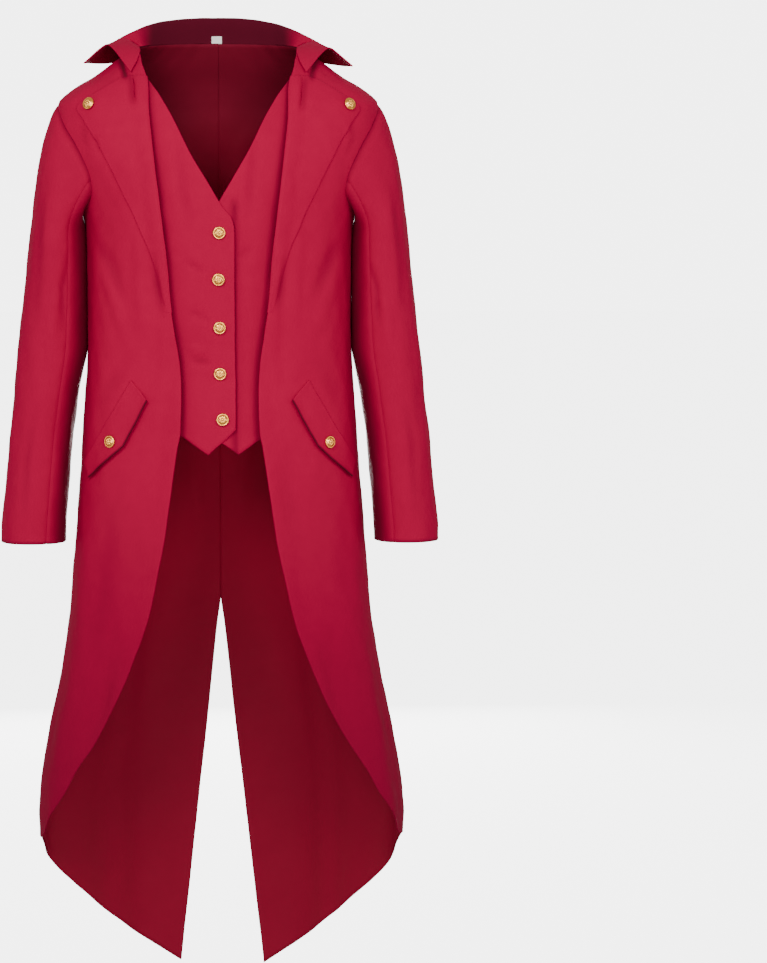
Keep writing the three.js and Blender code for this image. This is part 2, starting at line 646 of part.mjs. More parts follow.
// Lapels and pocket flaps are cut out of a wall that lies on the fronts.
const lean = new THREE.Vector2(FLAP.outer.x - FLAP.top.x, FLAP.outer.z - FLAP.top.z);
const inward = new THREE.Vector2(lean.y, -lean.x).normalize();
const flapOutline = [FLAP.outer, FLAP.top, ...FLAP.rows.map((row) => ({
  x: FLAP.top.x + lean.x * row.along + inward.x * row.wide,
  z: FLAP.top.z + lean.y * row.along + inward.y * row.wide,
}))];
for (const side of [1, -1]) {
  const name = names[side];
  const laid = wallGeometry(fronts[side], LAID.inner, LAID.outer);
  const depth = { from: -160, to: -2 };
  addPiece(`lapel_${name}`, cutByOutline(laid, mirrored(LAPEL, side), depth), COLOURS.coat);
  addPiece(`pocket_flap_${name}`, cutByOutline(laid, mirrored(flapOutline, side), depth), COLOURS.coat);
}

// Half-belt, cut out of a wall on both backs.
const beltRows = [-352, -405, -460, -520];
const beltShares = shares(7).slice(0, 5);
const beltColumns = [...beltShares.slice(1).reverse().map((value) => -value), ...beltShares];
const beltGrid = gridOf(beltRows, beltColumns, (z, across) => {
  const side = across < 0 ? -1 : 1;
  const turn = mix(Math.PI, Math.PI / 2, Math.abs(across));
  return { point: formPoint(side, turn, z), out: formOutward(side, turn, z) };
});
const beltOutline = [
  { x: BELT.half, z: BELT.z },
  { x: BELT.half - BELT.point, z: BELT.z + BELT.tall / 2 },
  { x: BELT.point - BELT.half, z: BELT.z + BELT.tall / 2 },
  { x: -BELT.half, z: BELT.z },
  { x: BELT.point - BELT.half, z: BELT.z - BELT.tall / 2 },
  { x: BELT.half - BELT.point, z: BELT.z - BELT.tall / 2 },
];
const beltWall = wallGeometry(beltGrid, LAID.inner, LAID.outer);
addPiece('back_belt', cutByOutline(beltWall, beltOutline, { from: 20, to: 160 }), COLOURS.coat);

// Sleeves in two panels each.
for (const side of [1, -1]) {
  const name = names[side];
  const top = trimmed(sleeveGrid(side, SLEEVE_SEAM.elbow, SLEEVE_SEAM.front, 11), { first: sleeveHalf, last: sleeveHalf });
  const under = trimmed(sleeveGrid(side, SLEEVE_SEAM.front, SLEEVE_SEAM.elbow + 360, 8), { first: sleeveHalf, last: sleeveHalf });
  addPiece(`sleeve_top_${name}`, wallGeometry(top, 0, WALL), COLOURS.coat);
  addPiece(`sleeve_under_${name}`, wallGeometry(under, 0, WALL), COLOURS.coat);
}

// Collar and its blank label.
const stations = [...COLLAR_STEPS.slice(1).reverse().map((value) => -value), ...COLLAR_STEPS];
const collarGrid = gridOf(stations, COLLAR_RUN, collarCell);
addPiece('collar', wallGeometry(collarGrid, COLLAR_WALL.inner, COLLAR_WALL.outer), COLOURS.coat);
const centre = COLLAR_STEPS.length - 1;
const standCell = (row, share) => {
  const [low, high] = collarGrid[row];
  return { point: low.point.clone().lerp(high.point, share), out: low.out.clone().lerp(high.out, share) };
};
const labelGrid = [-LABEL.from, 0, LABEL.to].map((shift) => [LABEL.low, LABEL.high].map((share) => {
  const middle = standCell(centre, share);
  const next = standCell(centre + Math.sign(shift), share);
  const out = middle.out.lerp(next.out, Math.abs(shift)).normalize();
  return { point: middle.point.lerp(next.point, Math.abs(shift)), out };
}));
const outwardSign = Math.sign(labelGrid[1][0].out.y);
addPiece('neck_label', wallGeometry(labelGrid, -outwardSign * LABEL.inner, -outwardSign * LABEL.outer), COLOURS.label);

// Buttons: a low dome with a rounded rim, turned round its own axis.
function buttonGeometry() {
  const { radius, height, segments } = BUTTON;
  const profile = [
    { out: 0, up: 0 },
    { out: 0.86, up: 0 },
    { out: 1, up: 0.2 },
    { out: 0.96, up: 0.42 },
    { out: 0.76, up: 0.72 },
    { out: 0.4, up: 0.94 },
    { out: 0, up: 1 },
  ].map((row) => new THREE.Vector2(row.out * radius, row.up * height));
  const turned = new THREE.LatheGeometry(profile, segments);
  turned.rotateX(Math.PI / 2);
  return turned;
}

function addButton(name, point, out, above) {
  const button = addPiece(name, buttonGeometry(), COLOURS.brass, 0.3, 0.9);
  button.position.copy(point).addScaledVector(out, above + BUTTON_GAP);
  button.quaternion.setFromUnitVectors(new THREE.Vector3(0, 0, 1), out);
}

function addBodyButton(name, x, z, behind, above) {
  const side = x < 0 ? -1 : 1;
  const turn = turnAt(Math.abs(x), z, behind);
  addButton(name, formPoint(side, turn, z), formOutward(side, turn, z), above);
}

const FRONT_BUTTONS = [
  { name: 'button_lapel_right', x: -178.2, z: -89, above: LAID.outer },
  { name: 'button_lapel_left', x: 176.2, z: -90.2, above: LAID.outer },
  { name: 'button_flap_right', x: -147, z: -548.5, above: LAID.outer },
  { name: 'button_flap_left', x: 147.2, z: -550.5, above: LAID.outer },
  { name: 'button_vest_1', x: -0.1, z: -263.5 },
  { name: 'button_vest_2', x: -1.4, z: -327 },
  { name: 'button_vest_3', x: 0.1, z: -392.4 },
  { name: 'button_vest_4', x: 0.3, z: -455 },
  { name: 'button_vest_5', x: 3.4, z: -517 },
];
for (const row of FRONT_BUTTONS) {
  addBodyButton(row.name, row.x, row.z, false, row.above ?? vestSink(row.z) + WALL);
}
for (const side of [1, -1]) {
  addBodyButton(`button_belt_${names[side]}`, side * (BELT.half - 20), BELT.z, true, LAID.outer);
}

// Cuff buttons stand in a row beside the elbow seam.
const CUFF_BUTTONS = { turn: -77, levels: [-602, -628, -655] };
for (const side of [1, -1]) {
  CUFF_BUTTONS.levels.forEach((z, i) => {
    const surface = (turn, step) => sleevePoint(side, turn, step);
    const turn = degrees(CUFF_BUTTONS.turn);
    const step = 1 + (SLEEVE[0].z - z) / 100;
    const outside = new THREE.Vector3(side * Math.cos(turn), -Math.sin(turn), 0);
    const out = outwardOf(surface, turn, step, 0.02, 0.02, outside);
    addButton(`button_cuff_${names[side]}_${i + 1}`, surface(turn, step), out, WALL);
  });
}

export default coat;
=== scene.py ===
"""A long crimson tailcoat with a sewn-in waistcoat front, filled out as if worn.

Lengths in the tables are millimetres. Z is up, the front faces -Y and +X is the wearer's left.
The origin is the centre of the neck opening.
"""
from __future__ import annotations

import logging
import math
from dataclasses import dataclass
from enum import Enum
from typing import Sequence

import bpy
import numpy as np
from bpy.types import ID, Material, Mesh, Node, NodeSocket, Object
from mathutils import Matrix, Vector

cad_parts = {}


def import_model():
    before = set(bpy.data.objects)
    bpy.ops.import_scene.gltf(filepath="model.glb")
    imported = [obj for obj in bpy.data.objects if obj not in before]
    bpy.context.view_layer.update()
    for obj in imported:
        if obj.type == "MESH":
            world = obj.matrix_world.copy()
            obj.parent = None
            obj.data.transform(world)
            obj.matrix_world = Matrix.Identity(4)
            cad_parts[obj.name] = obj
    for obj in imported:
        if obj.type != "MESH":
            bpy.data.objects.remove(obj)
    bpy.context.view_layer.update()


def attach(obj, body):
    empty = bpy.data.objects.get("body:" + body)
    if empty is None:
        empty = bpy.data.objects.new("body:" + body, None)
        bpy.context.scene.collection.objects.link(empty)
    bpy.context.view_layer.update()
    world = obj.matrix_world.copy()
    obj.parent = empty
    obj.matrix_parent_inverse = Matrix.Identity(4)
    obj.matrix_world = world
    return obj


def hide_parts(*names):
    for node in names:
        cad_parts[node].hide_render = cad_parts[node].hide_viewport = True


LOG = logging.getLogger("tailcoat")
MM = 0.001
SIDES = {1: "left", -1: "right"}
Array = np.ndarray


class Slot(Enum):
    """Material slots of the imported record."""

    COAT = "coat_cloth"
    LINING = "lining_cloth"
    METAL = "button_metal"
    LABEL = "label_tape"


class Edge(Enum):
    """Borders of a cloth grid: its first and last column, and its first and last row."""

    FIRST = "first"
    LAST = "last"
    TOP = "top"
    FOOT = "foot"


# Body form: level, half width, depth before and behind the side seams.
BODY = (
    (30, 80, 50, 58), (14, 86, 56, 62), (0, 97, 62, 66), (-9, 108, 66, 70), (-29, 140.5, 76, 80),
    (-43, 159.5, 83, 88), (-54, 175.5, 88, 94), (-62, 190, 91, 97), (-73, 206, 95, 101), (-84, 218, 99, 104),
    (-92, 222, 102, 106), (-115, 222, 108, 110), (-136, 219, 114, 114), (-160, 214, 118, 118),
    (-185, 205, 121, 120), (-210, 195, 123, 121), (-235, 187.5, 123, 121), (-262, 183, 122, 118),
    (-300, 181.5, 120, 113), (-400, 181, 112, 101), (-440, 182, 110, 100), (-498, 186.5, 111, 105),
    (-561, 190.5, 113, 113), (-624, 195.5, 116, 122), (-708, 202.5, 118, 130), (-793, 209.5, 117, 135),
    (-878, 222.5, 114, 139), (-964, 240.5, 109, 142), (-1049, 253.5, 103, 145), (-1112, 256.5, 100, 147),
    (-1330, 258, 100, 152),
)
# Large soft folds: side, turn from the front centre, half width in degrees, depth, top and foot.
FOLDS = (
    (1, 158, 15, 7, -560, -1150), (1, 133, 13, -6, -640, -1120), (1, 112, 12, 5, -600, -1080),
    (1, 62, 13, 5, -600, -1000), (1, 44, 10, -4, -640, -960), (1, 147, 7, -3, -330, -430),
    (-1, 155, 16, 6, -540, -1180), (-1, 130, 12, -5, -620, -1140), (-1, 110, 13, 6, -650, -1070),
    (-1, 64, 14, 4, -570, -1010), (-1, 45, 10, -5, -660, -950), (-1, 148, 7, -3, -320, -440),
)
# Front's free edge: level and distance from the middle.
FRONT_EDGE = (
    (-10, 107.5), (-18, 107), (-30, 105), (-44, 101), (-57, 97.3), (-94, 94.3), (-175, 85.4), (-238, 78.1),
    (-296, 71.2), (-352, 66.5), (-401, 59.5), (-448, 53), (-486, 51.5), (-535, 53), (-554, 56.5),
    (-619, 65.7), (-683, 75.1), (-739, 86.2), (-790, 97.3), (-834, 112), (-904, 140), (-954, 168.6),
    (-1004, 197), (-1038, 212), (-1061, 226), (-1084, 240), (-1108, 252),
)
# Back's centre edge: seam, then the vent, which opens downward.
BACK_EDGE = (
    (0, 0), (-785, 0.1), (-800, 1.6), (-820, 4.6), (-877, 11), (-965, 20), (-1054, 30.3), (-1121, 37.7),
    (-1188, 45.1), (-1255, 52.6), (-1325, 60.2),
)
# Tail hem: share of the way from the vent to the side seam, and how far it hangs below the side corner.
HEM_DROP = (
    (0, 217), (0.11, 190), (0.21, 166), (0.32, 141), (0.43, 116), (0.55, 90), (0.67, 63), (0.8, 33),
    (0.88, 13), (1, 0),
)
HEM_SIDE, HEM_START = -1108, -700
HEM_LONGER = {1: 6, -1: 0}
# How far the lower side corners curve in: level and distance.
CORNER_IN = (
    (-1075, 0), (-1108, 2.4), (-1120, 2.6), (-1135, 5.5), (-1160, 6.5), (-1200, 5), (-1270, 0), (-1400, 0),
)
# Levels of the rows above the armhole, on the front and the back.
FRONT_LEVELS = (-11, -13, *np.arange(-15.5, -66, -2.5), -68, -71, -75, -78)
BACK_LEVELS = (-10, -14, -20, -26, -32, -38, -45, -51, -58, -65, -71, -78)
# Armhole: middle level, half height, bites out of front and back in degrees, and its egg shape.
ARMHOLE_MIDDLE, ARMHOLE_HALF, ARMHOLE_FRONT, ARMHOLE_BACK, ARMHOLE_EGG = -159.5, 75.5, 31, 34, 0.35
# Lapel's top border and outer edge, as distance from the middle and level.
LAPEL_TOP = ((96, -52), (122, -52), (136, -58), (150, -66), (191, -91))
LAPEL_EDGE = (
    (191, -91), (191.5, -98), (180, -114), (162, -143), (144.5, -177), (117, -233), (92, -290), (77, -336),
    (69, -371),
)
# Level of the half-belt.
BELT_LEVEL = -425.0
# Flap's sewn corners, as distance from the middle and level; share of its length at its bend.
FLAP_TOP, FLAP_END, FLAP_BEND = (120.5, -465.0), (186.0, -579.5), 0.525
# Waistcoat front: level, its free edge, and the edge sewn below the coat front.
VEST_EDGE = (
    (-34, 108, 116), (-48, 101, 120), (-77, 80, 124), (-115, 59, 127), (-157, 38.5, 127), (-192, 17.4, 126),
    (-222, 0, 124), (-231, -6, 123), (-242, -15.5, 122), (-259, -20, 121), (-324, -20.2, 117),
    (-406, -20.7, 110), (-530, -21.4, 104), (-570, -21.4, 104),
)
VEST_HEMS = {
    -1: ((0, -531), (0.25, -565), (0.52, -540.5), (1, -528)),
    1: ((0, -534), (0.32, -565), (0.53, -546.5), (1, -528)),
}
VEST_SINK = ((-30, -3.6), (-120, -5.5), (-230, -8), (-600, -8.4))
# Sleeve sections on the wearer's left: level, centre, half width and half depth.
SLEEVE = (
    (-262, 223.5, 3, 35.7, 67), (-300, 225.4, 4, 38.6, 66), (-350, 228.2, 5, 41.6, 64),
    (-400, 232, 5, 43.6, 62), (-435, 235.3, 4, 44.6, 60), (-456, 237.5, 3, 44.2, 59),
    (-498, 241.9, 0, 43, 57),
    (-540, 247.6, -3, 42.8, 55), (-582, 251.3, -6, 42.4, 53), (-624, 255, -9, 42.8, 52),
    (-666, 258.8, -11, 43.4, 51), (-691, 259.6, -12, 42.8, 51),
)
# Sleeve's first section, cuff, and the distance that each step below the first section stands for.
SLEEVE_FIRST, CUFF, SLEEVE_STEP = -262, -691, 100
# Arc of the sleeve for each degree of turn, and for a full turn.
ARC, FULL_ARC = 0.9, 324
# How far the sleeve's inner side reaches toward the body: level and distance.
SLEEVE_PRESSED = (
    (-262, 2.9), (-335, 2.7), (-370, 3.4), (-400, 4.4), (-425, 4.9), (-450, 2.6), (-490, 0), (-700, 0),
)
# Collar stations from the back centre to the front end: share, seam x and z, lie, roll x y z, edge x y z.
COLLAR = (
    (0, 0, -1, 0.8, 0, 71, 35, 0, 89, -9), (0.22, 40, -1.5, 0.8, 40, 68, 33.5, 50, 85, -10),
    (0.42, 74, -3.2, 0.8, 75, 58, 29.5, 90, 70, -13), (0.56, 94, -5.4, 0.9, 98, 44, 23, 116, 51, -20),
    (0.68, 104.5, -8.2, 1.4, 119, 27, 12.5, 138, 32, -27),
    (0.78, 107.6, -11.2, 2.2, 134, 11, 4, 157, 18, -30.5),
    (0.88, 106, -18, 2.9, 144, -3, -2, 172, 4, -31), (0.95, 109.6, -31, 3.9, 149, -12, -5, 180, -8, -31),
    (1, 117.2, -47.5, 5.2, 152, -20, -6.3, 184.5, -17, -31.5),
)
# Ripples of hanging cloth: height, wave length, lean from level and phase.
RIPPLES = (
    (0.30, 74, 8, 0.4), (0.24, 47, -13, 2.1), (0.20, 33, 21, 4.4), (0.16, 96, 64, 1.2), (0.10, 22, -34, 3.3),
    (0.12, 41, 78, 5.2),
)


def smooth(share: Array | float) -> Array:
    """Returns the share eased in and out between 0 and 1."""
    held = np.clip(share, 0.0, 1.0)
    return held * held * (3 - 2 * held)


def mix(a: Array | float, b: Array | float, share: Array | float) -> Array:
    """Returns the value that lies at a share of the way from a to b."""
    return a + (b - a) * share


def near(distance: Array, reach: float) -> Array:
    """Returns 1 on a line and less with the distance from it, next to nothing at twice the reach."""
    return np.exp(-((distance / reach) ** 2))


def hump(off: Array) -> Array:
    """Returns a rounded ridge that is 1 at 0 and ends at -1 and 1."""
    return np.cos(np.clip(off, -1, 1) * math.pi / 2) ** 2


def unit(vectors: Array) -> Array:
    """Returns the vectors at length 1."""
    return vectors / np.maximum(np.linalg.norm(vectors, axis=-1, keepdims=True), 1e-9)


def facing(normal: Array, outside: Array) -> Array:
    """Returns the normals, turned over where they point away from the outside."""
    return normal * np.where(np.sum(normal * outside, axis=-1, keepdims=True) < 0, -1.0, 1.0)


def squared_off(part: Array, power: float) -> Array:
    """Returns a sine or cosine raised to a power with its sign kept, for a rounded oblong."""
    return np.sign(part) * np.abs(part) ** power


def ripple(u: Array, v: Array, phase: float) -> Array:
    """Low ripples that hanging cloth keeps.

    Args:
        u: Distance across the cloth.
        v: Distance along it.
        phase: Shift that makes one piece differ from the next.

    Returns:
        Height of the ripples.
    """
    height = np.zeros(np.broadcast(u, v).shape)
    for rise, length, lean, start in RIPPLES:
        angle = math.radians(lean)
        across = u * math.cos(angle) + v * math.sin(angle)
        height = height + rise * np.sin(across * 2 * math.pi / length + start + phase)
    return height


class Curve:
    """Smooth curve through a table's two columns, without overshoot."""

    def __init__(self, rows: Sequence[Sequence[float]], column: int = 1) -> None:
        """Fits the curve.

        Args:
            rows: Table rows, with the place in the first column.
            column: Column of the value.
        """
        ordered = sorted((row[0], row[column]) for row in rows)
        self.at = np.array([row[0] for row in ordered], float)
        self.to = np.array([row[1] for row in ordered], float)
        rise = np.diff(self.to) / np.diff(self.at)
        self.slope = np.zeros(len(ordered))
        self.slope[0], self.slope[-1] = rise[0], rise[-1]
        product = rise[:-1] * rise[1:]
        total = np.where(product > 0, rise[:-1] + rise[1:], 1.0)
        self.slope[1:-1] = np.where(product > 0, 2 * product / total, 0.0)

    def __call__(self, place: Array | float) -> Array:
        """Returns the curve's value at a place."""
        t = np.clip(np.asarray(place, float), self.at[0], self.at[-1])
        i = np.clip(np.searchsorted(self.at, t, side="left") - 1, 0, len(self.at) - 2)
        step = self.at[i + 1] - self.at[i]
        s = (t - self.at[i]) / step
        rest = (2 * s**3 - 3 * s**2 + 1) * self.to[i] + (s**3 - 2 * s**2 + s) * step * self.slope[i]
        return rest + (3 * s**2 - 2 * s**3) * self.to[i + 1] + (s**3 - s**2) * step * self.slope[i + 1]


@dataclass(frozen=True)
class Crease:
    """Soft trough or ridge along a path.

    Attributes:
        path: Points on the cloth's chart.
        half: Half width.
        depth: Height of the ridge, or below 0 the depth of the trough.
        fade: Share of the path over which each end dies away.
    """

    path: tuple[tuple[float, float], ...]
    half: float
    depth: float
    fade: float = 0.4

    def height(self, u: Array, v: Array) -> Array:
        """Returns the crease's height at places of the chart."""
        nearest = np.full(np.broadcast(u, v).shape, 1e9)
        along = np.zeros_like(nearest)
        done = 0.0
        for (au, av), (bu, bv) in zip(self.path, self.path[1:]):
            du, dv = bu - au, bv - av
            length = math.hypot(du, dv)
            t = np.clip(((u - au) * du + (v - av) * dv) / length**2, 0, 1)
            gap = np.hypot(u - au - t * du, v - av - t * dv)
            along = np.where(gap < nearest, done + t * length, along)
            nearest = np.minimum(gap, nearest)
            done += length
        share = along / done
        ends = smooth(np.minimum(share, 1 - share) / self.fade)
        return self.depth * hump(nearest / self.half) * ends


def creases(*rows: tuple) -> tuple[Crease, ...]:
    """Returns a crease for each row of path, half width, depth and, where it differs, fade."""
    return tuple(Crease(*row) for row in rows)


# Creases on the fronts and backs, as distance from the middle and level.
FRONT_CREASES = {
    1: creases(
        (((119, -44), (116, -66), (112, -104)), 9, -4.2, 0.3), (((105, -40), (102, -100)), 7, 2.2, 0.3),
        (((180, -108), (183, -132), (181, -156)), 6, -2.1), (((172, -112), (173, -160)), 6, 1.4),
        (((120, -420), (150, -470), (176, -520)), 16, -1.0),
        (((78, -330), (72, -420), (80, -520)), 13, 1.8),
        (((176, -262), (150, -300), (128, -360)), 15, -2.4),
        (((172, -300), (150, -345), (120, -420)), 14, 1.8),
        (((96, -520), (88, -600), (108, -720)), 16, -1.1),
        (((150, -620), (160, -760), (182, -900)), 20, 1.2),
        (((92, -284), (84, -330), (76, -392)), 10, -4.2, 0.5),
        (((108, -240), (104, -330), (96, -420)), 14, 2.0),
    ),
    -1: creases(
        (((120, -42), (118, -62), (115, -96)), 9, -4.6, 0.3), (((106, -38), (104, -92)), 7, 2.4, 0.3),
        (((183, -112), (182, -150)), 6, -2.4), (((167, -132), (162, -154)), 6, -2.0),
        (((116, -430), (146, -470), (172, -512)), 15, -1.1),
        (((80, -320), (74, -430), (84, -540)), 14, 1.7),
        (((174, -255), (146, -310), (130, -380)), 14, -2.1),
        (((170, -290), (140, -360), (126, -430)), 13, 2.0),
        (((100, -560), (96, -650), (118, -760)), 17, 1.1),
        (((140, -600), (156, -740), (178, -880)), 18, -1.2),
        (((91, -280), (84, -330), (74, -400)), 10, -4.5, 0.5),
        (((110, -230), (106, -340), (98, -430)), 14, 2.1),
    ),
}
# Hollow of the front behind the collar's end, its depth and its share of painted shadow.
COLLAR_NOTCH = Crease(((138, -12), (132, -32), (124, -62)), 7, 1.0, 0.22)
NOTCH_DEPTH, NOTCH_SHADE = 4, 0.9
# Share of painted shade for each millimetre of a trough's depth, and the most that a trough gets.
SHADE_PER_DEPTH, DEEPEST_SHADE = 0.08, 0.4
BACK_CREASES = {
    1: creases(
        (((122, -128), (145, -143), (170, -160)), 8, 3.3), (((128, -146), (165, -176)), 8, -2.7),
        (((88, -200), (88, -310), (92, -412)), 15, -4.2), (((70, -210), (66, -320), (70, -400)), 14, 2.4),
        (((172, -196), (150, -250), (146, -330)), 13, 3.0), (((174, -300), (130, -312)), 7, -2.0),
        (((90, -450), (96, -540), (110, -640)), 14, -3.6),
        (((30, -450), (34, -560), (30, -700)), 18, 2.4),
        (((150, -440), (160, -560), (176, -700)), 18, 2.7),
        (((60, -90), (30, -150), (24, -260)), 18, -1.8),
    ),
    -1: creases(
        (((104, -112), (126, -140), (150, -170)), 8, 3.6),
        (((112, -134), (146, -176), (160, -210)), 9, -3.2),
        (((95, -200), (93, -322), (122, -392), (150, -458)), 15, -4.5),
        (((154, -168), (156, -250), (152, -340)), 12, 3.4),
        (((72, -220), (68, -330), (72, -404)), 14, 2.2), (((44, -100), (52, -170), (46, -300)), 16, -2.4),
        (((92, -452), (98, -560), (118, -660)), 13, -3.3),
        (((26, -460), (38, -600), (28, -740)), 18, 2.5),
        (((146, -470), (164, -600), (182, -760)), 18, 2.4), (((170, -470), (128, -486)), 7, -1.7),
    ),
}
# Creases on the sleeves, as arc from the outer side (front above 0) and level.
SLEEVE_CREASES = {
    1: creases(
        (((-96, -176), (-66, -136), (-48, -112)), 8, -2.5),
        (((-104, -196), (-76, -150), (-60, -118)), 7, 2.2),
        (((-138, -300), (-112, -312), (-84, -306)), 10, 3.9),
        (((-140, -322), (-110, -330), (-88, -322)), 7, -3.9),
        (((-136, -378), (-106, -386), (-78, -372)), 9, -3.6),
        (((-130, -352), (-104, -358), (-72, -346)), 10, 3.0),
        (((-60, -300), (-40, -360), (-52, -440)), 14, -2.2),
        (((-70, -420), (-66, -520), (-60, -600)), 14, 1.8),
        (((104, -300), (92, -345), (96, -402)), 9, -2.7), (((90, -330), (80, -378), (84, -440)), 11, 2.0),
        (((60, -150), (48, -260), (52, -420)), 16, -1.8), (((30, -320), (26, -460), (32, -640)), 18, 1.7),
        (((70, -470), (62, -560), (70, -670)), 13, -1.7), (((0, -120), (6, -220), (0, -330)), 18, 1.5),
    ),
    -1: creases(
        (((-110, -214), (-84, -170), (-56, -132)), 8, -3.3),
        (((-100, -180), (-72, -150), (-40, -120)), 7, 2.4),
        (((-118, -236), (-90, -206), (-70, -160)), 7, -2.7),
        (((-140, -268), (-110, -276), (-80, -258)), 12, 3.6),
        (((-142, -300), (-112, -304), (-86, -292)), 8, -3.9),
        (((-138, -334), (-108, -338), (-76, -322)), 12, 3.9),
        (((-144, -378), (-108, -384), (-72, -376)), 8, -4.8),
        (((-136, -404), (-104, -408), (-76, -396)), 10, 2.4),
        (((-58, -310), (-44, -380), (-54, -470)), 13, -2.1),
        (((-72, -450), (-66, -540), (-62, -620)), 13, 2.0),
        (((106, -292), (94, -340), (100, -410)), 9, -3.0),
        (((92, -322), (82, -372), (86, -430)), 11, 2.1), (((56, -160), (50, -270), (58, -400)), 16, -1.7),
        (((26, -350), (30, -480), (24, -660)), 18, 1.8), (((72, -500), (64, -580), (70, -680)), 12, -1.8),
    ),
}
VEST_CREASES = {
    1: creases(
        (((50, -280), (20, -300)), 8, -1.2), (((60, -400), (30, -392)), 7, 1.2),
        (((52, -120), (44, -190), (36, -260)), 12, -1.5),
    ),
    -1: creases(
        (((46, -432), (26, -438), (8, -433)), 5, -2.6), (((48, -421), (22, -427)), 5, 2.2),
        (((50, -298), (18, -318)), 6, -2.0), (((46, -370), (12, -380)), 6, -2.0),
        (((56, -130), (50, -200), (40, -270)), 12, -1.5),
    ),
}


def crease_height(creases: Sequence[Crease], u: Array, v: Array) -> Array:
    """Returns the height of several creases together."""
    return sum(crease.height(u, v) for crease in creases)


def fold_shade(creases: Sequence[Crease], u: Array, v: Array) -> Array:
    """Returns the share of painted shade in the troughs of creases."""
    return np.clip(-SHADE_PER_DEPTH * crease_height(creases, u, v), 0, DEEPEST_SHADE)


class BodyForm:
    """Filled-out form of the coat's body, with its folds and creases."""

    square = 2.2
    # Turned front edge: how far it stands up and reaches in.
    edge_high, edge_wide = 3.6, 27
    # Creases fade out at the side seam: where they end and over how much, in degrees.
    seam_clear, seam_fade = 4, 14
    # Distance round the body for each radian, for its ripples.
    ripple_arc = 150

    def __init__(self) -> None:
        """Fits the form's curves."""
        self.wide, self.before, self.behind = (Curve(BODY, column) for column in (1, 2, 3))
        self.free_edge = Curve(FRONT_EDGE)
        self.corner_in = Curve(CORNER_IN)

    def relief(self, side: Array | int, turn: Array, z: Array, x: Array) -> Array:
        """Height of folds, creases and ripples.

        Args:
            side: 1 on the wearer's left, -1 on the right.
            turn: Turn from the front centre.
            z: Level.
            x: Distance from the middle plane.

        Returns:
            Height above the bare form.
        """
        height = np.zeros(np.broadcast(turn, z, x).shape)
        for own, middle, half, depth, top, foot in FOLDS:
            off = (np.degrees(turn) - middle) / half
            down = smooth((top - z) / (top - foot))
            fold = depth * hump(off) * down
            height = height + np.where(side == own, fold, 0.0)
        for own in SIDES:
            front = crease_height(FRONT_CREASES[own], x, z) - NOTCH_DEPTH * COLLAR_NOTCH.height(x, z)
            back = crease_height(BACK_CREASES[own], x, z)
            clear = smooth((np.abs(np.degrees(turn) - 90) - self.seam_clear) / self.seam_fade)
            height = height + np.where(side == own, np.where(turn < math.pi / 2, front, back) * clear, 0.0)
        edge = np.clip((x - self.free_edge(z)) / self.edge_wide, 0, 1)
        turned = self.edge_high * hump(edge) * smooth((-62 - z) / 60) * smooth((z - HEM_SIDE) / 90)
        height = height + np.where(turn < math.pi / 2, turned, 0.0)
        beside = hump((np.degrees(turn) - 90) / 60)
        return height + ripple(turn * self.ripple_arc * side, z, 0.0) - self.corner_in(z) * beside

    def point(self, side: Array | int, turn: Array, z: Array, relief: bool = True) -> Array:
        """Returns the form's point at a turn and level."""
        turn, z = np.broadcast_arrays(np.asarray(turn, float), np.asarray(z, float))
        power = 2 / self.square
        across = squared_off(np.sin(turn), power)
        along = np.abs(np.cos(turn)) ** power
        x = self.wide(z) * across
        y = np.where(np.cos(turn) > 0, -self.before(z) * along, self.behind(z) * along)
        height = self.relief(side, turn, z, x) if relief else 0.0
        scale = 1 + height / np.maximum(np.hypot(x, y), 1.0)
        return np.stack([x * side * scale, y * scale, z], axis=-1)

    def outward(self, side: Array | int, turn: Array, z: Array) -> Array:
        """Returns the form's outward direction at a turn and level."""
        around = self.point(side, turn + 0.01, z) - self.point(side, turn - 0.01, z)
        upward = self.point(side, turn, z + 1.5) - self.point(side, turn, z - 1.5)
        normal = unit(np.cross(around, upward))
        turn, z = np.broadcast_arrays(np.asarray(turn, float), np.asarray(z, float))
        outside = np.stack([side * np.sin(turn), -np.cos(turn), np.full(turn.shape, 0.02)], axis=-1)
        return facing(normal, outside)

    def turn_at(self, x: Array | float, z: Array | float, behind: bool = False) -> Array:
        """Returns the turn at which the form is a given distance from the middle plane."""
        share = np.minimum(np.abs(x) / self.wide(z), 1.0) ** (self.square / 2)
        turn = np.sign(x) * np.arcsin(share)
        return math.pi - turn if behind else turn


FORM = BodyForm()


def armhole_bite(z: Array, deep: float) -> Array:
    """Returns how far the armhole bites into a panel at a level, as a turn."""
    cosine = np.clip((z - ARMHOLE_MIDDLE) / ARMHOLE_HALF, -1, 1)
    return np.radians(deep * np.sqrt(1 - cosine * cosine) * (1 - ARMHOLE_EGG * cosine))


def panel_levels(top: Sequence[float], foot: float, step: float) -> Array:
    """Levels of a body panel's rows, close together round the armhole.

    Args:
        top: Levels above the armhole.
        foot: Lowest level.
        step: Distance between rows below the armhole.

    Returns:
        The levels from the top down.
    """
    ring = ARMHOLE_MIDDLE + ARMHOLE_HALF * np.cos(np.linspace(0, math.pi, 30))
    count = max(2, round((ring[-1] - foot) / step))
    lower = np.linspace(ring[-1], foot, count + 1)[1:]
    fringe = [foot + 4, foot + 1.6]
    return np.array(sorted({round(float(z), 3) for z in [*top, *ring, *lower, *fringe]}, reverse=True))


def shares(count: int, fringe: Sequence[float] = (0.005, 0.013, 0.026)) -> Array:
    """Returns shares from 0 to 1, with extra ones close to both ends."""
    inner = np.linspace(fringe[-1], 1 - fringe[-1], count + 1)
    ends = list(fringe[:-1])
    return np.array([0.0, *ends, *inner, *[1 - share for share in reversed(ends)], 1.0])


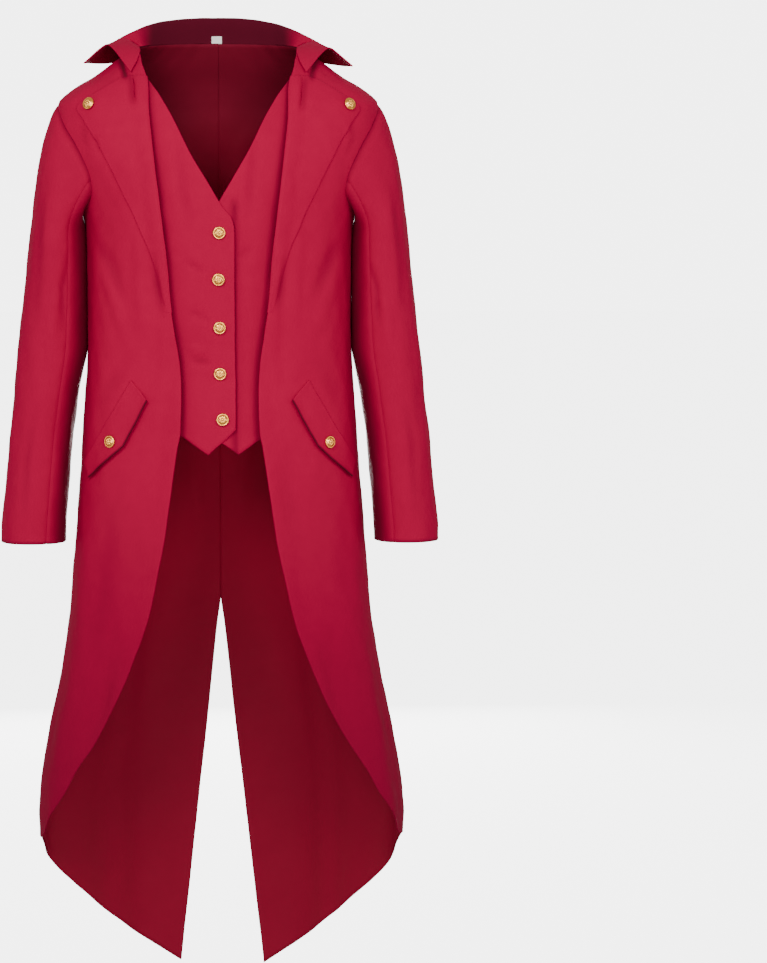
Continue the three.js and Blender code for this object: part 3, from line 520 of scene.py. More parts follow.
@dataclass
class ClothGrid:
    """Rows and columns of points on a sheet, each with its outward direction."""

    points: Array
    out: Array

    def chart(self) -> tuple[Array, Array]:
        """Returns each point's distance from the middle plane and its level."""
        return np.abs(self.points[..., 0]), self.points[..., 2]

    def run(self, axis: int) -> Array:
        """Returns the length along each row (axis 1) or column (axis 0) up to every point."""
        steps = np.linalg.norm(np.diff(self.points, axis=axis), axis=-1)
        start = np.zeros_like(np.take(steps, [0], axis=axis))
        return np.concatenate([start, np.cumsum(steps, axis=axis)], axis=axis)

    def distance(self, *edges: Edge) -> Array:
        """Returns each point's distance from the nearest of some borders."""
        across, down = self.run(1), self.run(0)
        away = {
            Edge.FIRST: across, Edge.LAST: across[:, -1:] - across,
            Edge.TOP: down, Edge.FOOT: down[-1:] - down,
        }
        return np.minimum.reduce([away[edge] for edge in edges])

    def lifted(self, height: Array | float) -> "ClothGrid":
        """Returns the grid moved outward by a height at each point."""
        return ClothGrid(self.points + self.out * np.asarray(height)[..., None], self.out)

    def trimmed(self, first: float = 0, last: float = 0, top: float = 0, foot: float = 0) -> "ClothGrid":
        """Returns the grid with its borders moved inward by these distances."""
        both = np.concatenate([self.points, self.out], axis=-1)
        for axis, start, end in ((1, first, last), (0, top, foot)):
            run = ClothGrid(both[..., :3], both[..., 3:]).run(axis)
            lines, runs = np.moveaxis(both, axis, 0), np.moveaxis(run, axis, 0)
            fresh = np.empty_like(lines)
            for k in range(lines.shape[1]):
                total = runs[-1, k]
                places = start + runs[:, k] * max(total - start - end, 0.01) / total
                for c in range(6):
                    fresh[:, k, c] = np.interp(places, runs[:, k], lines[:, k, c])
            both = np.moveaxis(fresh, 0, axis)
        return ClothGrid(both[..., :3], unit(both[..., 3:]))

    def area(self) -> float:
        """Returns the sheet's area in square metres."""
        p = self.points
        one = np.cross(p[1:, :-1] - p[:-1, :-1], p[:-1, 1:] - p[:-1, :-1])
        two = np.cross(p[1:, :-1] - p[1:, 1:], p[:-1, 1:] - p[1:, 1:])
        total = np.linalg.norm(one, axis=-1).sum() + np.linalg.norm(two, axis=-1).sum()
        return float(total) / 2 * MM * MM


def new_object(name: str, data: ID) -> Object:
    """Returns a new object in the scene, at the origin."""
    made = bpy.data.objects.new(name, data)
    bpy.context.scene.collection.objects.link(made)
    return made


def aim(thing: Object, place: Sequence[float], target: Sequence[float]) -> None:
    """Puts a light or camera at a place and turns it to a target."""
    thing.location = place
    thing.rotation_euler = (Vector(target) - Vector(place)).to_track_quat("-Z", "Y").to_euler()


def new_mesh_object(name: str, points: Array, faces: list, finishes: Sequence[Material]) -> Object:
    """Makes a smooth mesh object at the origin.

    Args:
        name: Object's name.
        points: Points in millimetres.
        faces: Corner indices of the faces.
        finishes: Materials of its slots.

    Returns:
        The new object.
    """
    mesh = bpy.data.meshes.new(name)
    mesh.from_pydata((points * MM).tolist(), [], faces)
    for finish in finishes:
        mesh.materials.append(finish)
    mesh.polygons.foreach_set("use_smooth", [True] * len(mesh.polygons))
    mesh.update()
    return new_object(name, mesh)


def cloth_shell(
    name: str, grid: ClothGrid, inner: Array | float, outer: Array | float,
    finishes: Sequence[Material], painted_shade: Array | None = None,
) -> Object:
    """Closed thin shell of cloth with rounded edges.

    Args:
        name: Object's name.
        grid: Sheet that the shell follows.
        inner: Distance from the sheet to the inner face.
        outer: Distance from the sheet to the outer face.
        finishes: Finish of the outer face, and of the inner face where it differs.
        painted_shade: Share of painted shade at each point, a dark wine that stands in for shadow.

    Returns:
        The new object.
    """
    rows, columns = grid.points.shape[:2]
    low = np.broadcast_to(np.asarray(inner, float), (rows, columns))
    high = np.broadcast_to(np.asarray(outer, float), (rows, columns))
    face_out = grid.points + grid.out * high[..., None]
    face_in = grid.points + grid.out * low[..., None]
    index = np.arange(rows * columns).reshape(rows, columns)
    ring = np.concatenate([index[0, :], index[1:, -1], index[-1, -2::-1], index[-2:0:-1, 0]])
    inside = index.copy()
    inside[0], inside[-1] = index[1], index[-2]
    inside[:, 0], inside[:, -1] = inside[:, 1], inside[:, -2]
    flat, normal = grid.points.reshape(-1, 3), grid.out.reshape(-1, 3)
    aside = unit(flat[ring] - flat[inside.ravel()[ring]])
    thick = (high - low).ravel()[ring][:, None]
    middle = flat[ring] + normal[ring] * ((high + low).ravel()[ring] / 2)[:, None] + aside * thick * 0.45
    layer, count = rows * columns, len(ring)
    points = np.concatenate([face_out.reshape(-1, 3), face_in.reshape(-1, 3), middle])
    a, b, c, d = (part.ravel() for part in (index[:-1, :-1], index[1:, :-1], index[1:, 1:], index[:-1, 1:]))
    outer_faces = np.stack([a, b, c, d], axis=1)
    inner_faces = np.stack([a, d, c, b], axis=1) + layer
    rim = np.arange(count) + 2 * layer
    following = np.roll(np.arange(count), -1)
    upper_rim = np.stack([ring[following], ring, rim, rim[following]], axis=1)[:, ::-1]
    lower_rim = np.stack([rim[following], rim, ring + layer, ring[following] + layer], axis=1)[:, ::-1]
    faces = np.concatenate([outer_faces, inner_faces, upper_rim, lower_rim])
    corners = points[faces]
    volume = np.einsum("ij,ij->i", corners[:, 0], np.cross(corners[:, 1], corners[:, 2])).sum()
    volume += np.einsum("ij,ij->i", corners[:, 0], np.cross(corners[:, 2], corners[:, 3])).sum()
    if volume < 0:
        faces = faces[:, ::-1]
    made = new_mesh_object(name, points, faces.tolist(), finishes)
    if len(finishes) > 1:
        slots = np.zeros(len(faces), np.int32)
        slots[len(outer_faces):len(outer_faces) + len(inner_faces)] = 1
        made.data.polygons.foreach_set("material_index", slots)
    cut = np.stack([grid.run(1), -grid.run(0)], axis=-1).reshape(-1, 2) * MM
    every = np.concatenate([cut, cut, cut[ring]])
    loops = np.empty(len(made.data.loops), np.int32)
    made.data.loops.foreach_get("vertex_index", loops)
    made.data.uv_layers.new(name="Cut").data.foreach_set("uv", every[loops].astype(np.float32).ravel())
    # Painted shade: each point's share of the dark wine that stands in for shadow.
    if painted_shade is not None:
        share = np.broadcast_to(painted_shade, (rows, columns)).ravel()
        tint = made.data.attributes.new("painted_shade", "FLOAT", "POINT")
        tint.data.foreach_set("value", np.concatenate([share, share, share[ring]]).astype(np.float32))
    return made


class NodeTree:
    """Material nodes, made and joined by hand."""

    def __init__(self, name: str) -> None:
        """Starts a material that has one surface shader."""
        self.material = bpy.data.materials.new(name)
        self.material.use_nodes = True
        self.nodes = self.material.node_tree.nodes
        self.links = self.material.node_tree.links
        self.surface = next(node for node in self.nodes if node.type == "BSDF_PRINCIPLED")

    def add(self, kind: str, **settings: object) -> Node:
        """Returns a new node with its properties and inputs set."""
        node = self.nodes.new(kind)
        for key, value in settings.items():
            if key.startswith("in_"):
                slot = key[3:].replace("_", " ")
                node.inputs[int(slot) if slot.isdigit() else slot].default_value = value
            else:
                setattr(node, key, value)
        return node

    def join(self, start: NodeSocket, end: NodeSocket) -> None:
        """Links one socket to another."""
        self.links.new(start, end)

    def fit(self, **inputs: object) -> None:
        """Sets inputs of the surface shader, or joins those that are sockets."""
        for key, value in inputs.items():
            end = self.surface.inputs[key.replace("_", " ")]
            if isinstance(value, NodeSocket):
                self.join(value, end)
            else:
                end.default_value = value

    def noise(self, coordinate: NodeSocket, scale: float, detail: float = 2.0) -> NodeSocket:
        """Returns the value of a noise over a coordinate."""
        node = self.add("ShaderNodeTexNoise", in_Scale=scale, in_Detail=detail)
        self.join(coordinate, node.inputs["Vector"])
        return node.outputs["Fac"]

    def ribs(self, coordinate: NodeSocket, pitch: float, warp: float) -> NodeSocket:
        """Returns the value of slanted bands, a pitch in metres apart."""
        width = pitch * math.sqrt(2)
        node = self.add(
            "ShaderNodeTexWave", wave_type="BANDS", bands_direction="DIAGONAL",
            in_Scale=2 * math.pi / (10 * width), in_Distortion=warp, in_Detail=1.0,
        )
        self.join(coordinate, node.inputs["Vector"])
        return node.outputs["Fac"]

    def maths(self, operation: str, first: NodeSocket, second: object) -> NodeSocket:
        """Returns the result of a sum on a socket and a number or another socket."""
        node = self.add("ShaderNodeMath", operation=operation)
        self.join(first, node.inputs[0])
        if isinstance(second, (int, float)):
            node.inputs[1].default_value = second
        else:
            self.join(second, node.inputs[1])
        return node.outputs[0]

    def spread(self, value: NodeSocket, low: float, high: float) -> NodeSocket:
        """Returns a value from 0 to 1 spread between two numbers."""
        node = self.add("ShaderNodeMapRange", in_To_Min=low, in_To_Max=high)
        self.join(value, node.inputs["Value"])
        return node.outputs["Result"]

    def blend(self, share: NodeSocket, first: object, second: object) -> NodeSocket:
        """Returns the blend of two colours, each a tuple or a socket."""
        node = self.add("ShaderNodeMix", data_type="RGBA")
        self.join(share, node.inputs["Factor"])
        for slot, colour in ((6, first), (7, second)):
            if isinstance(colour, tuple):
                node.inputs[slot].default_value = (*colour, 1.0)
            else:
                self.join(colour, node.inputs[slot])
        return node.outputs[2]

    def bump(self, height: NodeSocket, depth: float, below: object = None) -> NodeSocket:
        """Returns the normal of a bump of a depth in metres, over another bump."""
        node = self.add("ShaderNodeBump", in_Strength=1.0, in_Distance=depth)
        self.join(height, node.inputs["Height"])
        if below is not None:
            self.join(below, node.inputs["Normal"])
        return node.outputs["Normal"]


@dataclass(frozen=True)
class WovenCloth:
    """Woven cloth with a low sheen.

    Attributes:
        name: Material's name.
        colour: Colour of the cloth in light.
        deep: Colour between the threads.
        painted_shade: Colour of the painted shade that the shade attribute brings in, a dark wine that stands
            in for shadow.
        pitch: Distance between the weave's ribs in metres.
        relief: Depth of the weave in metres.
        soft: Depth of the soft unevenness in metres.
        roughness: Roughness of the surface.
        sheen: Weight of the nap's sheen.
        tint: Colour of the sheen.
        specular: Level of the gloss.
        gloss: Colour of the gloss.
    """

    name: str
    colour: tuple[float, float, float]
    deep: tuple[float, float, float]
    painted_shade: tuple[float, float, float]
    pitch: float = 0.0011
    relief: float = 0.00007
    soft: float = 0.0005
    roughness: float = 0.62
    sheen: float = 0.06
    tint: tuple[float, float, float] = (1.0, 0.04, 0.16)
    specular: float = 0.06
    gloss: tuple[float, float, float] = (1.0, 0.18, 0.30)

    def material(self) -> Material:
        """Returns the finished material."""
        tree = NodeTree(self.name)
        place = tree.add("ShaderNodeTexCoord")
        cut, solid = place.outputs["UV"], place.outputs["Object"]
        rib = tree.ribs(cut, self.pitch, 0.35)
        yarn = tree.noise(cut, 1500.0, 3.0)
        weave = tree.maths("ADD", tree.maths("MULTIPLY", rib, 0.7), tree.maths("MULTIPLY", yarn, 0.6))
        blotch = tree.noise(solid, 9.0, 4.0)
        slub = tree.noise(solid, 70.0, 3.0)
        both = tree.maths("ADD", tree.maths("MULTIPLY", blotch, 0.6), tree.maths("MULTIPLY", slub, 0.4))
        dim, lit = (tuple(scale * part for part in self.colour) for scale in (0.93, 1.06))
        light = tree.blend(tree.spread(both, -0.55, 1.55), dim, lit)
        shade = tree.blend(tree.spread(weave, 0.30, 0.0), light, self.deep)
        # The attribute read here marks painted shade: where it is set, the colour darkens toward a dark wine
        # that stands in for shadow.
        tint = tree.add("ShaderNodeAttribute", attribute_name="painted_shade")
        finer = tree.maths("MULTIPLY", tree.noise(solid, 60.0), 0.35)
        uneven = tree.maths("ADD", tree.noise(solid, 24.0), finer)
        tree.fit(
            Base_Color=tree.blend(tint.outputs["Fac"], shade, self.painted_shade),
            Roughness=tree.spread(slub, self.roughness - 0.05, self.roughness + 0.06),
            Normal=tree.bump(weave, self.relief, tree.bump(uneven, self.soft)),
            Specular_IOR_Level=self.specular, Specular_Tint=(*self.gloss, 1.0),
            Sheen_Weight=self.sheen, Sheen_Roughness=0.45, Sheen_Tint=(*self.tint, 1.0),
        )
        return tree.material


@dataclass(frozen=True)
class GiltMetal:
    """Pale gilt brass, darker where the relief is low."""

    name: str = "gilt_brass"
    bright: tuple[float, float, float] = (1.0, 0.47, 0.10)
    tarnish: tuple[float, float, float] = (0.42, 0.10, 0.012)
    roughness: float = 0.22

    def material(self) -> Material:
        """Returns the finished material."""
        tree = NodeTree(self.name)
        place = tree.add("ShaderNodeTexCoord").outputs["Object"]
        low = tree.add("ShaderNodeAttribute", attribute_name="recess").outputs["Fac"]
        grime = tree.noise(place, 900.0, 3.0)
        share = tree.maths("MULTIPLY", low, tree.spread(grime, 0.55, 1.1))
        worn = tree.spread(grime, self.roughness - 0.05, self.roughness + 0.10)
        tree.fit(
            Base_Color=tree.blend(share, self.bright, self.tarnish), Metallic=1.0,
            Roughness=tree.maths("ADD", worn, tree.maths("MULTIPLY", low, 0.25)),
            Normal=tree.bump(grime, 0.00004),
        )
        return tree.material


@dataclass(frozen=True)
class Finishes:
    """Every finish of the coat."""

    coat: Material
    lining: Material
    under_collar: Material
    metal: Material
    tape: Material
    thread: Material

    @property
    def lined(self) -> tuple[Material, Material]:
        """Returns the finishes of lined cloth: coat cloth outside and lining inside."""
        return self.coat, self.lining


CRIMSON = (0.34, 0.003, 0.036)
# Dark wine of the painted shade, for shadow in creases, under edges, at seams and inside the coat.
PAINTED_SHADE_COLOUR = (0.068, 0.004, 0.012)


def make_finishes() -> Finishes:
    """Returns the coat's finishes."""
    return Finishes(
        coat=WovenCloth("crimson_twill", CRIMSON, (0.22, 0.001, 0.018), PAINTED_SHADE_COLOUR).material(),
        lining=WovenCloth(
            "wine_lining", (0.35, 0.007, 0.028), (0.27, 0.005, 0.021), PAINTED_SHADE_COLOUR, pitch=0.0007, relief=0.00004,
            soft=0.0006, roughness=0.5, sheen=0.05, specular=0.15,
        ).material(),
        under_collar=WovenCloth(
            "under_collar_twill", (0.15, 0.003, 0.014), (0.10, 0.002, 0.009), PAINTED_SHADE_COLOUR, roughness=0.7, sheen=0.12,
        ).material(),
        metal=GiltMetal().material(),
        tape=WovenCloth(
            "white_tape", (0.80, 0.78, 0.74), (0.58, 0.55, 0.52), PAINTED_SHADE_COLOUR, pitch=0.0006, relief=0.00008,
            soft=0.0001, roughness=0.6, sheen=0.15, tint=(1.0, 1.0, 1.0), gloss=(1.0, 1.0, 1.0),
        ).material(),
        thread=WovenCloth(
            "crimson_thread", (0.50, 0.016, 0.055), (0.30, 0.008, 0.03), PAINTED_SHADE_COLOUR, pitch=0.0006, soft=0.0,
            roughness=0.45, sheen=0.1, specular=0.45,
        ).material(),
    )


@dataclass(frozen=True)
class Cut:
    """Flat cut of a sheet: width, length and area, in metres and square metres."""

    width: float
    length: float
    area: float


def settle(
    made: Object, node: str, cut: Cut | None = None,
) -> None:
    """Ties a piece to the frame.

    Args:
        made: The piece.
        node: Node that it stands for.
        cut: Flat cut, where it is a sheet; not used.
    """
    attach(made, "root")
    if node:
        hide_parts(node)
    LOG.info("%s: %d faces", made.name, len(made.data.polygons))


def log_cut(name: str, grid: ClothGrid) -> Cut:
    """Returns the flat cut of a grid, and reports it."""
    wide, long = float(grid.run(1)[:, -1].max()) * MM, float(grid.run(0)[-1].max()) * MM
    wide, long = round(wide, 4), round(long, 4)
    cut = Cut(wide, long, math.floor(min(grid.area(), wide * long) * 1e6) * 1e-6)
    LOG.info("cut %s %s", name, cut)
    return cut


def sew_sheet(
    name: str, node: str, grid: ClothGrid, faces: tuple[Array | float, Array | float],
    finishes: Sequence[Material], painted_shade: Array | None = None,
) -> None:
    """Builds a sheet of cloth and ties it to the frame.

    Args:
        name: The sheet's name.
        node: Node that it stands for.
        grid: Grid that it follows.
        faces: Distances from the grid to the inner and the outer face.
        finishes: Finish of the outer face, and of the inner face where it differs.
        painted_shade: Share of painted shade at each point, a dark wine that stands in for shadow.
    """
    made = cloth_shell(name, grid, *faces, finishes, painted_shade)
    settle(made, node, log_cut(name, grid))


@dataclass
class BodyPanels:
    """Fronts, backs and back linings."""

    finishes: Finishes
    wall: float = 1.6
    lining_faces: tuple[float, float] = (-1.3, -0.45)
    seam_gap: float = 0.3
    columns: int = 42
    row_step: float = 6.0

    def front_grid(self, side: int) -> ClothGrid:
        """Returns a front from its free edge to shoulder, armhole and side seam."""
        z = panel_levels(FRONT_LEVELS, HEM_SIDE, self.row_step)[:, None]
        inner = FORM.turn_at(Curve(FRONT_EDGE)(z), z)
        turn = mix(inner, math.pi / 2 - armhole_bite(z, ARMHOLE_FRONT), shares(self.columns)[None, :])
        z = np.broadcast_to(z, turn.shape)
        return ClothGrid(FORM.point(side, turn, z), FORM.outward(side, turn, z))

    def back_grid(self, side: int) -> ClothGrid:
        """Returns a back from the centre seam or vent to shoulder, armhole and side seam."""
        level = panel_levels(BACK_LEVELS, HEM_SIDE, self.row_step)[:, None]
        across = shares(self.columns + 4)[None, :]
        drop = Curve(HEM_DROP)
        neck = np.clip((level + 58) / 48, 0, 1)
        tail = np.clip((HEM_START - level) / (HEM_START - HEM_SIDE), 0, 1) ** 1.5
        z = level + 9 * neck * (1 - across**2) - (drop(across) + HEM_LONGER[side] * (1 - across)) * tail
        centre = level + 9 * neck - (drop(0) + HEM_LONGER[side]) * tail
        inner = math.pi - FORM.turn_at(Curve(BACK_EDGE)(centre), centre)
        turn = mix(inner, math.pi / 2 + armhole_bite(level, ARMHOLE_BACK), across)
        return ClothGrid(FORM.point(side, turn, z), FORM.outward(side, turn, z))

    def seam_sink(self, grid: ClothGrid, centre_seam: bool) -> Array:
        """Returns how far the cloth is drawn in along its seams."""
        z = grid.points[..., 2]
        armhole = (z < ARMHOLE_MIDDLE + ARMHOLE_HALF - 6) & (z > ARMHOLE_MIDDLE - ARMHOLE_HALF + 6)
        sink = np.where(armhole, 0.0, 1.0) * near(grid.distance(Edge.LAST), 2.6)
        if centre_seam:
            sink = sink + smooth((z + 800) / 30) * near(grid.distance(Edge.FIRST), 3.0) * 1.3
        return -0.9 * sink

    @staticmethod
    def below_lapel(grid: ClothGrid) -> Array:
        """Returns 1 where the lapel covers a front and 0 elsewhere."""
        x, z = grid.chart()
        beside = Curve([(level, wide) for wide, level in LAPEL_EDGE])(z) - 3 - x
        above = np.interp(x, *zip(*LAPEL_TOP)) - 3 - z
        return smooth(beside / 4) * smooth(above / 4) * (z > LAPEL_EDGE[-1][1])

    def build(self) -> None:
        """Builds the fronts, backs and linings."""
        half = self.seam_gap / 2
        for side, name in SIDES.items():
            front = self.front_grid(side).trimmed(last=half)
            covered = self.below_lapel(front)
            pressed = 0.35 * near(front.distance(Edge.FIRST), 5.0) * (1 - covered)
            pressed = pressed + self.seam_sink(front, False) - covered
            x, z = front.chart()
            # Painted shade: darker towards the hem where the light falls off, in the shadow of the collar
            # notch, and in crease troughs.
            shade_share = np.maximum(0.52 * smooth((-480 - z) / 560), NOTCH_SHADE * COLLAR_NOTCH.height(x, z))
            shade_share = shade_share + fold_shade(FRONT_CREASES[side], x, z)
            sew_sheet(f"front_cloth_{name}", f"front_{name}", front, (0.0, self.wall + pressed),
                      self.finishes.lined, shade_share)
            back = self.back_grid(side).trimmed(first=half, last=half)
            hem = 0.3 * near(back.distance(Edge.FOOT), 5.0) + self.seam_sink(back, True)
            # Painted shade: darker just below the back's neck edge, in crease troughs, and as a dark line
            # along the hem.
            neck = smooth(1.4 - back.distance(Edge.TOP) / 6)
            neck = neck + fold_shade(BACK_CREASES[side], *back.chart())
            neck = np.maximum(neck, 0.85 * near(back.distance(Edge.FOOT), 1.2))
            sew_sheet(f"back_cloth_{name}", f"back_{name}", back, (0.0, self.wall + hem),
                      self.finishes.lined, neck)
            lining = back.trimmed(last=1, top=0.5, foot=3)
            level = lining.points[..., 2]
            # Painted shade on the lining: dark inside the neck, where shade falls, and darker towards the
            # tails' foot to even out the light there.
            neck = mix(0.28, 0.78, smooth((level + 260) / 200)) * smooth((level + 520) / 160)
            lining_shade = np.maximum(neck, 0.12 + 0.46 * smooth((-560 - level) / 400))
            sew_sheet(f"back_lining_cloth_{name}", f"back_lining_{name}", lining, self.lining_faces,
                      (self.finishes.lining,), lining_shade)


@dataclass
class VestFronts:
    """Sewn-in waistcoat fronts, the right one on top."""

    finishes: Finishes
    wall: float = 1.5
    under: float = 2.2
    seat: float = -2.5
    seat_from: float = 0.74

    def grid(self, side: int) -> tuple[ClothGrid, Array]:
        """Returns a waistcoat front and how far it lies below the coat's form."""
        levels = np.array([*np.arange(-34, -500, -6.5), *np.linspace(-500, -530, 9)])[:, None]
        corners = np.array(VEST_HEMS[side])
        beside = [corner + step for corner in corners[1:3, 0] for step in (-0.008, 0, 0.008)]
        across = np.array(sorted({*np.round(shares(26, (0.01, 0.025, 0.05)), 4), *beside}))[None, :]
        tail = np.clip((-430 - levels) / 100, 0, 1) ** 2
        z = levels + (np.interp(across, corners[:, 0], corners[:, 1]) + 530) * tail
        turn = mix(FORM.turn_at(Curve(VEST_EDGE, 1)(z), z), FORM.turn_at(Curve(VEST_EDGE, 2)(z), z), across)
        points = FORM.point(side, turn, z, relief=False)
        away = FORM.outward(side, turn, z)
        x = points[..., 0] * side
        fold = crease_height(VEST_CREASES[side], x, z) + 0.7 * ripple(x, z, 1.7 * side)
        rise = smooth((np.broadcast_to(across, z.shape) - self.seat_from) / (1 - self.seat_from))
        deep = self.under + 1.6 * near(x - 18, 16) if side == 1 else 0
        lap = 1.3 * near(x + 21, 9) * smooth((-212 - z) / 30) if side == -1 else 0
        sink = mix(Curve(VEST_SINK)(z) - deep, self.seat, rise)
        return ClothGrid(points, away), sink + lap + fold * (1 - rise) * smooth(across / 0.08 + 0.2)

    def build(self) -> None:
        """Builds both waistcoat fronts."""
        for side, name in SIDES.items():
            grid, sink = self.grid(side)
            edge = 0.3 * near(grid.distance(Edge.FIRST, Edge.FOOT), 4.0)
            x, z = grid.points[..., 0] * side, grid.points[..., 2]
            # Painted shadow on the waistcoat beside the coat fronts' edges and, on the left front, beside the
            # right front's overlapping edge; painted shade in crease troughs.
            shade = 0.45 * near(np.minimum(x - FORM.free_edge(z), 0), 6)
            if side == 1:
                shade = shade + 0.5 * near(x - 21, 5) * smooth((-210 - z) / 20)
            shade = shade + fold_shade(VEST_CREASES[side], x, z)
            sew_sheet(f"vest_cloth_{name}", f"vest_{name}", grid, (sink, sink + self.wall + edge),
                      self.finishes.lined, shade)


def patch(top: Array, foot: Array, first: Array, last: Array, rows: Array, columns: Array) -> Array:
    """Fills four border lines with a grid.

    Args:
        top: Border line at the first row.
        foot: Border line at the last row.
        first: Border line at the first column.
        last: Border line at the last column.
        rows: Shares of the rows.
        columns: Shares of the columns.

    Returns:
        Rows and columns of points in the plane.
    """
    def along(line: Array, places: Array) -> Array:
        """Returns points at shares of a line's length."""
        line = np.asarray(line, float)
        run = np.concatenate([[0.0], np.cumsum(np.linalg.norm(np.diff(line, axis=0), axis=1))])
        return np.stack([np.interp(places * run[-1], run, line[:, c]) for c in range(2)], axis=-1)

    s, t = rows[:, None, None], columns[None, :, None]
    a, b = along(first, rows)[:, None], along(last, rows)[:, None]
    c, d = along(top, columns)[None], along(foot, columns)[None]
    corners = (1 - s) * ((1 - t) * c[:, :1] + t * c[:, -1:]) + s * ((1 - t) * d[:, :1] + t * d[:, -1:])
    return (1 - t) * a + t * b + (1 - s) * c + s * d - corners


def on_form(side: int, chart: Array, behind: bool = False) -> ClothGrid:
    """Returns a grid of the form at distances from the middle and levels."""
    x, z = chart[..., 0], chart[..., 1]
    own = np.where(x < 0, -1, 1) * side if behind else side
    turn = FORM.turn_at(np.abs(x) if behind else x, z, behind)
    return ClothGrid(FORM.point(own, turn, z), FORM.outward(own, turn, z))


@dataclass
class LaidPieces:
    """Lapels, pocket flaps and half-belt, laid on the body."""

    finishes: Finishes
    inner: float = 1.9
    outer: float = 3.4
    belt_level: float = BELT_LEVEL
    belt_half: float = 92
    belt_tall: float = 38
    belt_point: float = 19

    def lapel_chart(self) -> Array:
        """Returns the lapel's chart: rolled edge first, then out to its tip and edge."""
        levels = np.linspace(LAPEL_TOP[0][1], LAPEL_EDGE[-1][1], 60)
        rolled = np.stack([Curve(FRONT_EDGE)(levels) - 1.3, levels], axis=1)
        top = np.array([rolled[0], *LAPEL_TOP[1:]])
        foot = np.array([rolled[-1], LAPEL_EDGE[-1]])
        rows, columns = shares(70, (0.004, 0.01, 0.02)), shares(40, (0.012, 0.028, 0.05))
        return patch(top, foot, rolled, np.array(LAPEL_EDGE), rows, columns)

    def build_lapels(self) -> None:
        """Builds both lapels, each rolled over the front's edge."""
        for side, name in SIDES.items():
            grid = on_form(side, self.lapel_chart())
            roll = near(grid.distance(Edge.FIRST), 1.6)
            edge = near(grid.distance(Edge.LAST, Edge.TOP), 4.5)
            puff = 1.1 * smooth(grid.distance(Edge.FIRST) / 14) * (1 - edge)
            foot = 1 - smooth(grid.distance(Edge.FOOT) / 50)
            low = mix(self.inner - 1.9 * roll + 0.4 * puff, 0.6, foot)
            high = mix(self.outer - 2.1 * roll + 0.4 * puff + 0.35 * edge, 2.1 - 0.9 * roll, foot)
            x, z = grid.chart()
            # Painted shade in the lapel's crease troughs and in the shadow of the collar notch.
            shade = np.maximum(fold_shade(FRONT_CREASES[side], x, z), NOTCH_SHADE * COLLAR_NOTCH.height(x, z))
            sew_sheet(f"lapel_cloth_{name}", f"lapel_{name}", grid, (low, high), (self.finishes.coat,),
                      shade)

    def flap_chart(self, along: Array, wide: Array) -> Array:
        """Returns the flap's chart from its sewn edge to its free edge."""
        top, end = np.array(FLAP_TOP), np.array(FLAP_END)
        lean = end - top
        inward = np.array([lean[1], -lean[0]]) / np.linalg.norm(lean)
        free = np.interp(along, [0, FLAP_BEND, 1], [0.09, 0.62, 1.1])[:, None, None]
        deep = np.interp(along, [0, FLAP_BEND, 1], [34, 36, 18])[:, None, None]
        sewn = top + lean * along[:, None, None]
        return mix(sewn, top + lean * free + inward * deep, wide[None, :, None])

    def build_flaps(self) -> None:
        """Builds both pocket flaps, which stand off a little at their free edge."""
        along = np.array(sorted({*np.round(shares(40, (0.006, 0.015, 0.03)), 5), 0.52, FLAP_BEND, 0.53}))
        across = shares(14, (0.02, 0.05, 0.09))
        for side, name in SIDES.items():
            grid = on_form(side, self.flap_chart(along, across))
            free = np.broadcast_to(across[None, :], grid.points.shape[:2])
            edge = near(grid.distance(Edge.LAST, Edge.TOP, Edge.FOOT), 3.5)
            lift = 3.4 * free**4 + 0.9 * free**2
            faces = (self.inner + lift - 0.25, self.outer + lift + 0.3 * edge)
            # Painted shadow: a dark line along the flap's free edge.
            rim = 0.95 * near(grid.distance(Edge.LAST), 1.7)
            sew_sheet(f"flap_cloth_{name}", f"pocket_flap_{name}", grid, faces, (self.finishes.coat,),
                      rim)

    def belt_chart(self, across: Array, up: Array) -> Array:
        """Returns the belt's chart, pointed at both ends."""
        x = across * self.belt_half
        half = np.interp(np.abs(x), [0, self.belt_half - self.belt_point, self.belt_half], [1, 1, 0.02])
        z = self.belt_level + up[:, None] * half[None, :] * self.belt_tall / 2
        return np.stack([np.broadcast_to(x[None, :], z.shape), z], axis=-1)

    @staticmethod
    def belt_droop(across: Array, up: Array) -> Array:
        """Returns how far the belt's lower half stands off, at shares of its half length and half height."""
        return 1.3 * smooth(-up) * smooth((0.8 - np.abs(across)) / 0.5)

    def build_belt(self) -> None:
        """Builds the half-belt, its lower edge a little off the back."""
        up = 1 - 2 * shares(12, (0.02, 0.05, 0.09))
        corners = (0.101, 0.104, 0.896, 0.899)
        across = 2 * np.array(sorted({*np.round(shares(66, (0.004, 0.01, 0.02)), 5), *corners})) - 1
        grid = on_form(1, self.belt_chart(across, up), behind=True)
        edge = near(grid.distance(Edge.TOP, Edge.FOOT, Edge.FIRST, Edge.LAST), 3.0)
        sewn = -0.45 * near(grid.distance(Edge.TOP, Edge.FOOT) - 5.5, 1.5)
        droop = self.belt_droop(across[None, :], up[:, None])
        faces = (self.inner + droop - 0.2, self.outer + droop + 0.3 * edge + sewn)
        sew_sheet("back_belt_cloth", "back_belt", grid, faces, (self.finishes.coat,))

    def build(self) -> None:
        """Builds every laid-on piece."""
        self.build_lapels()
        self.build_flaps()
        self.build_belt()


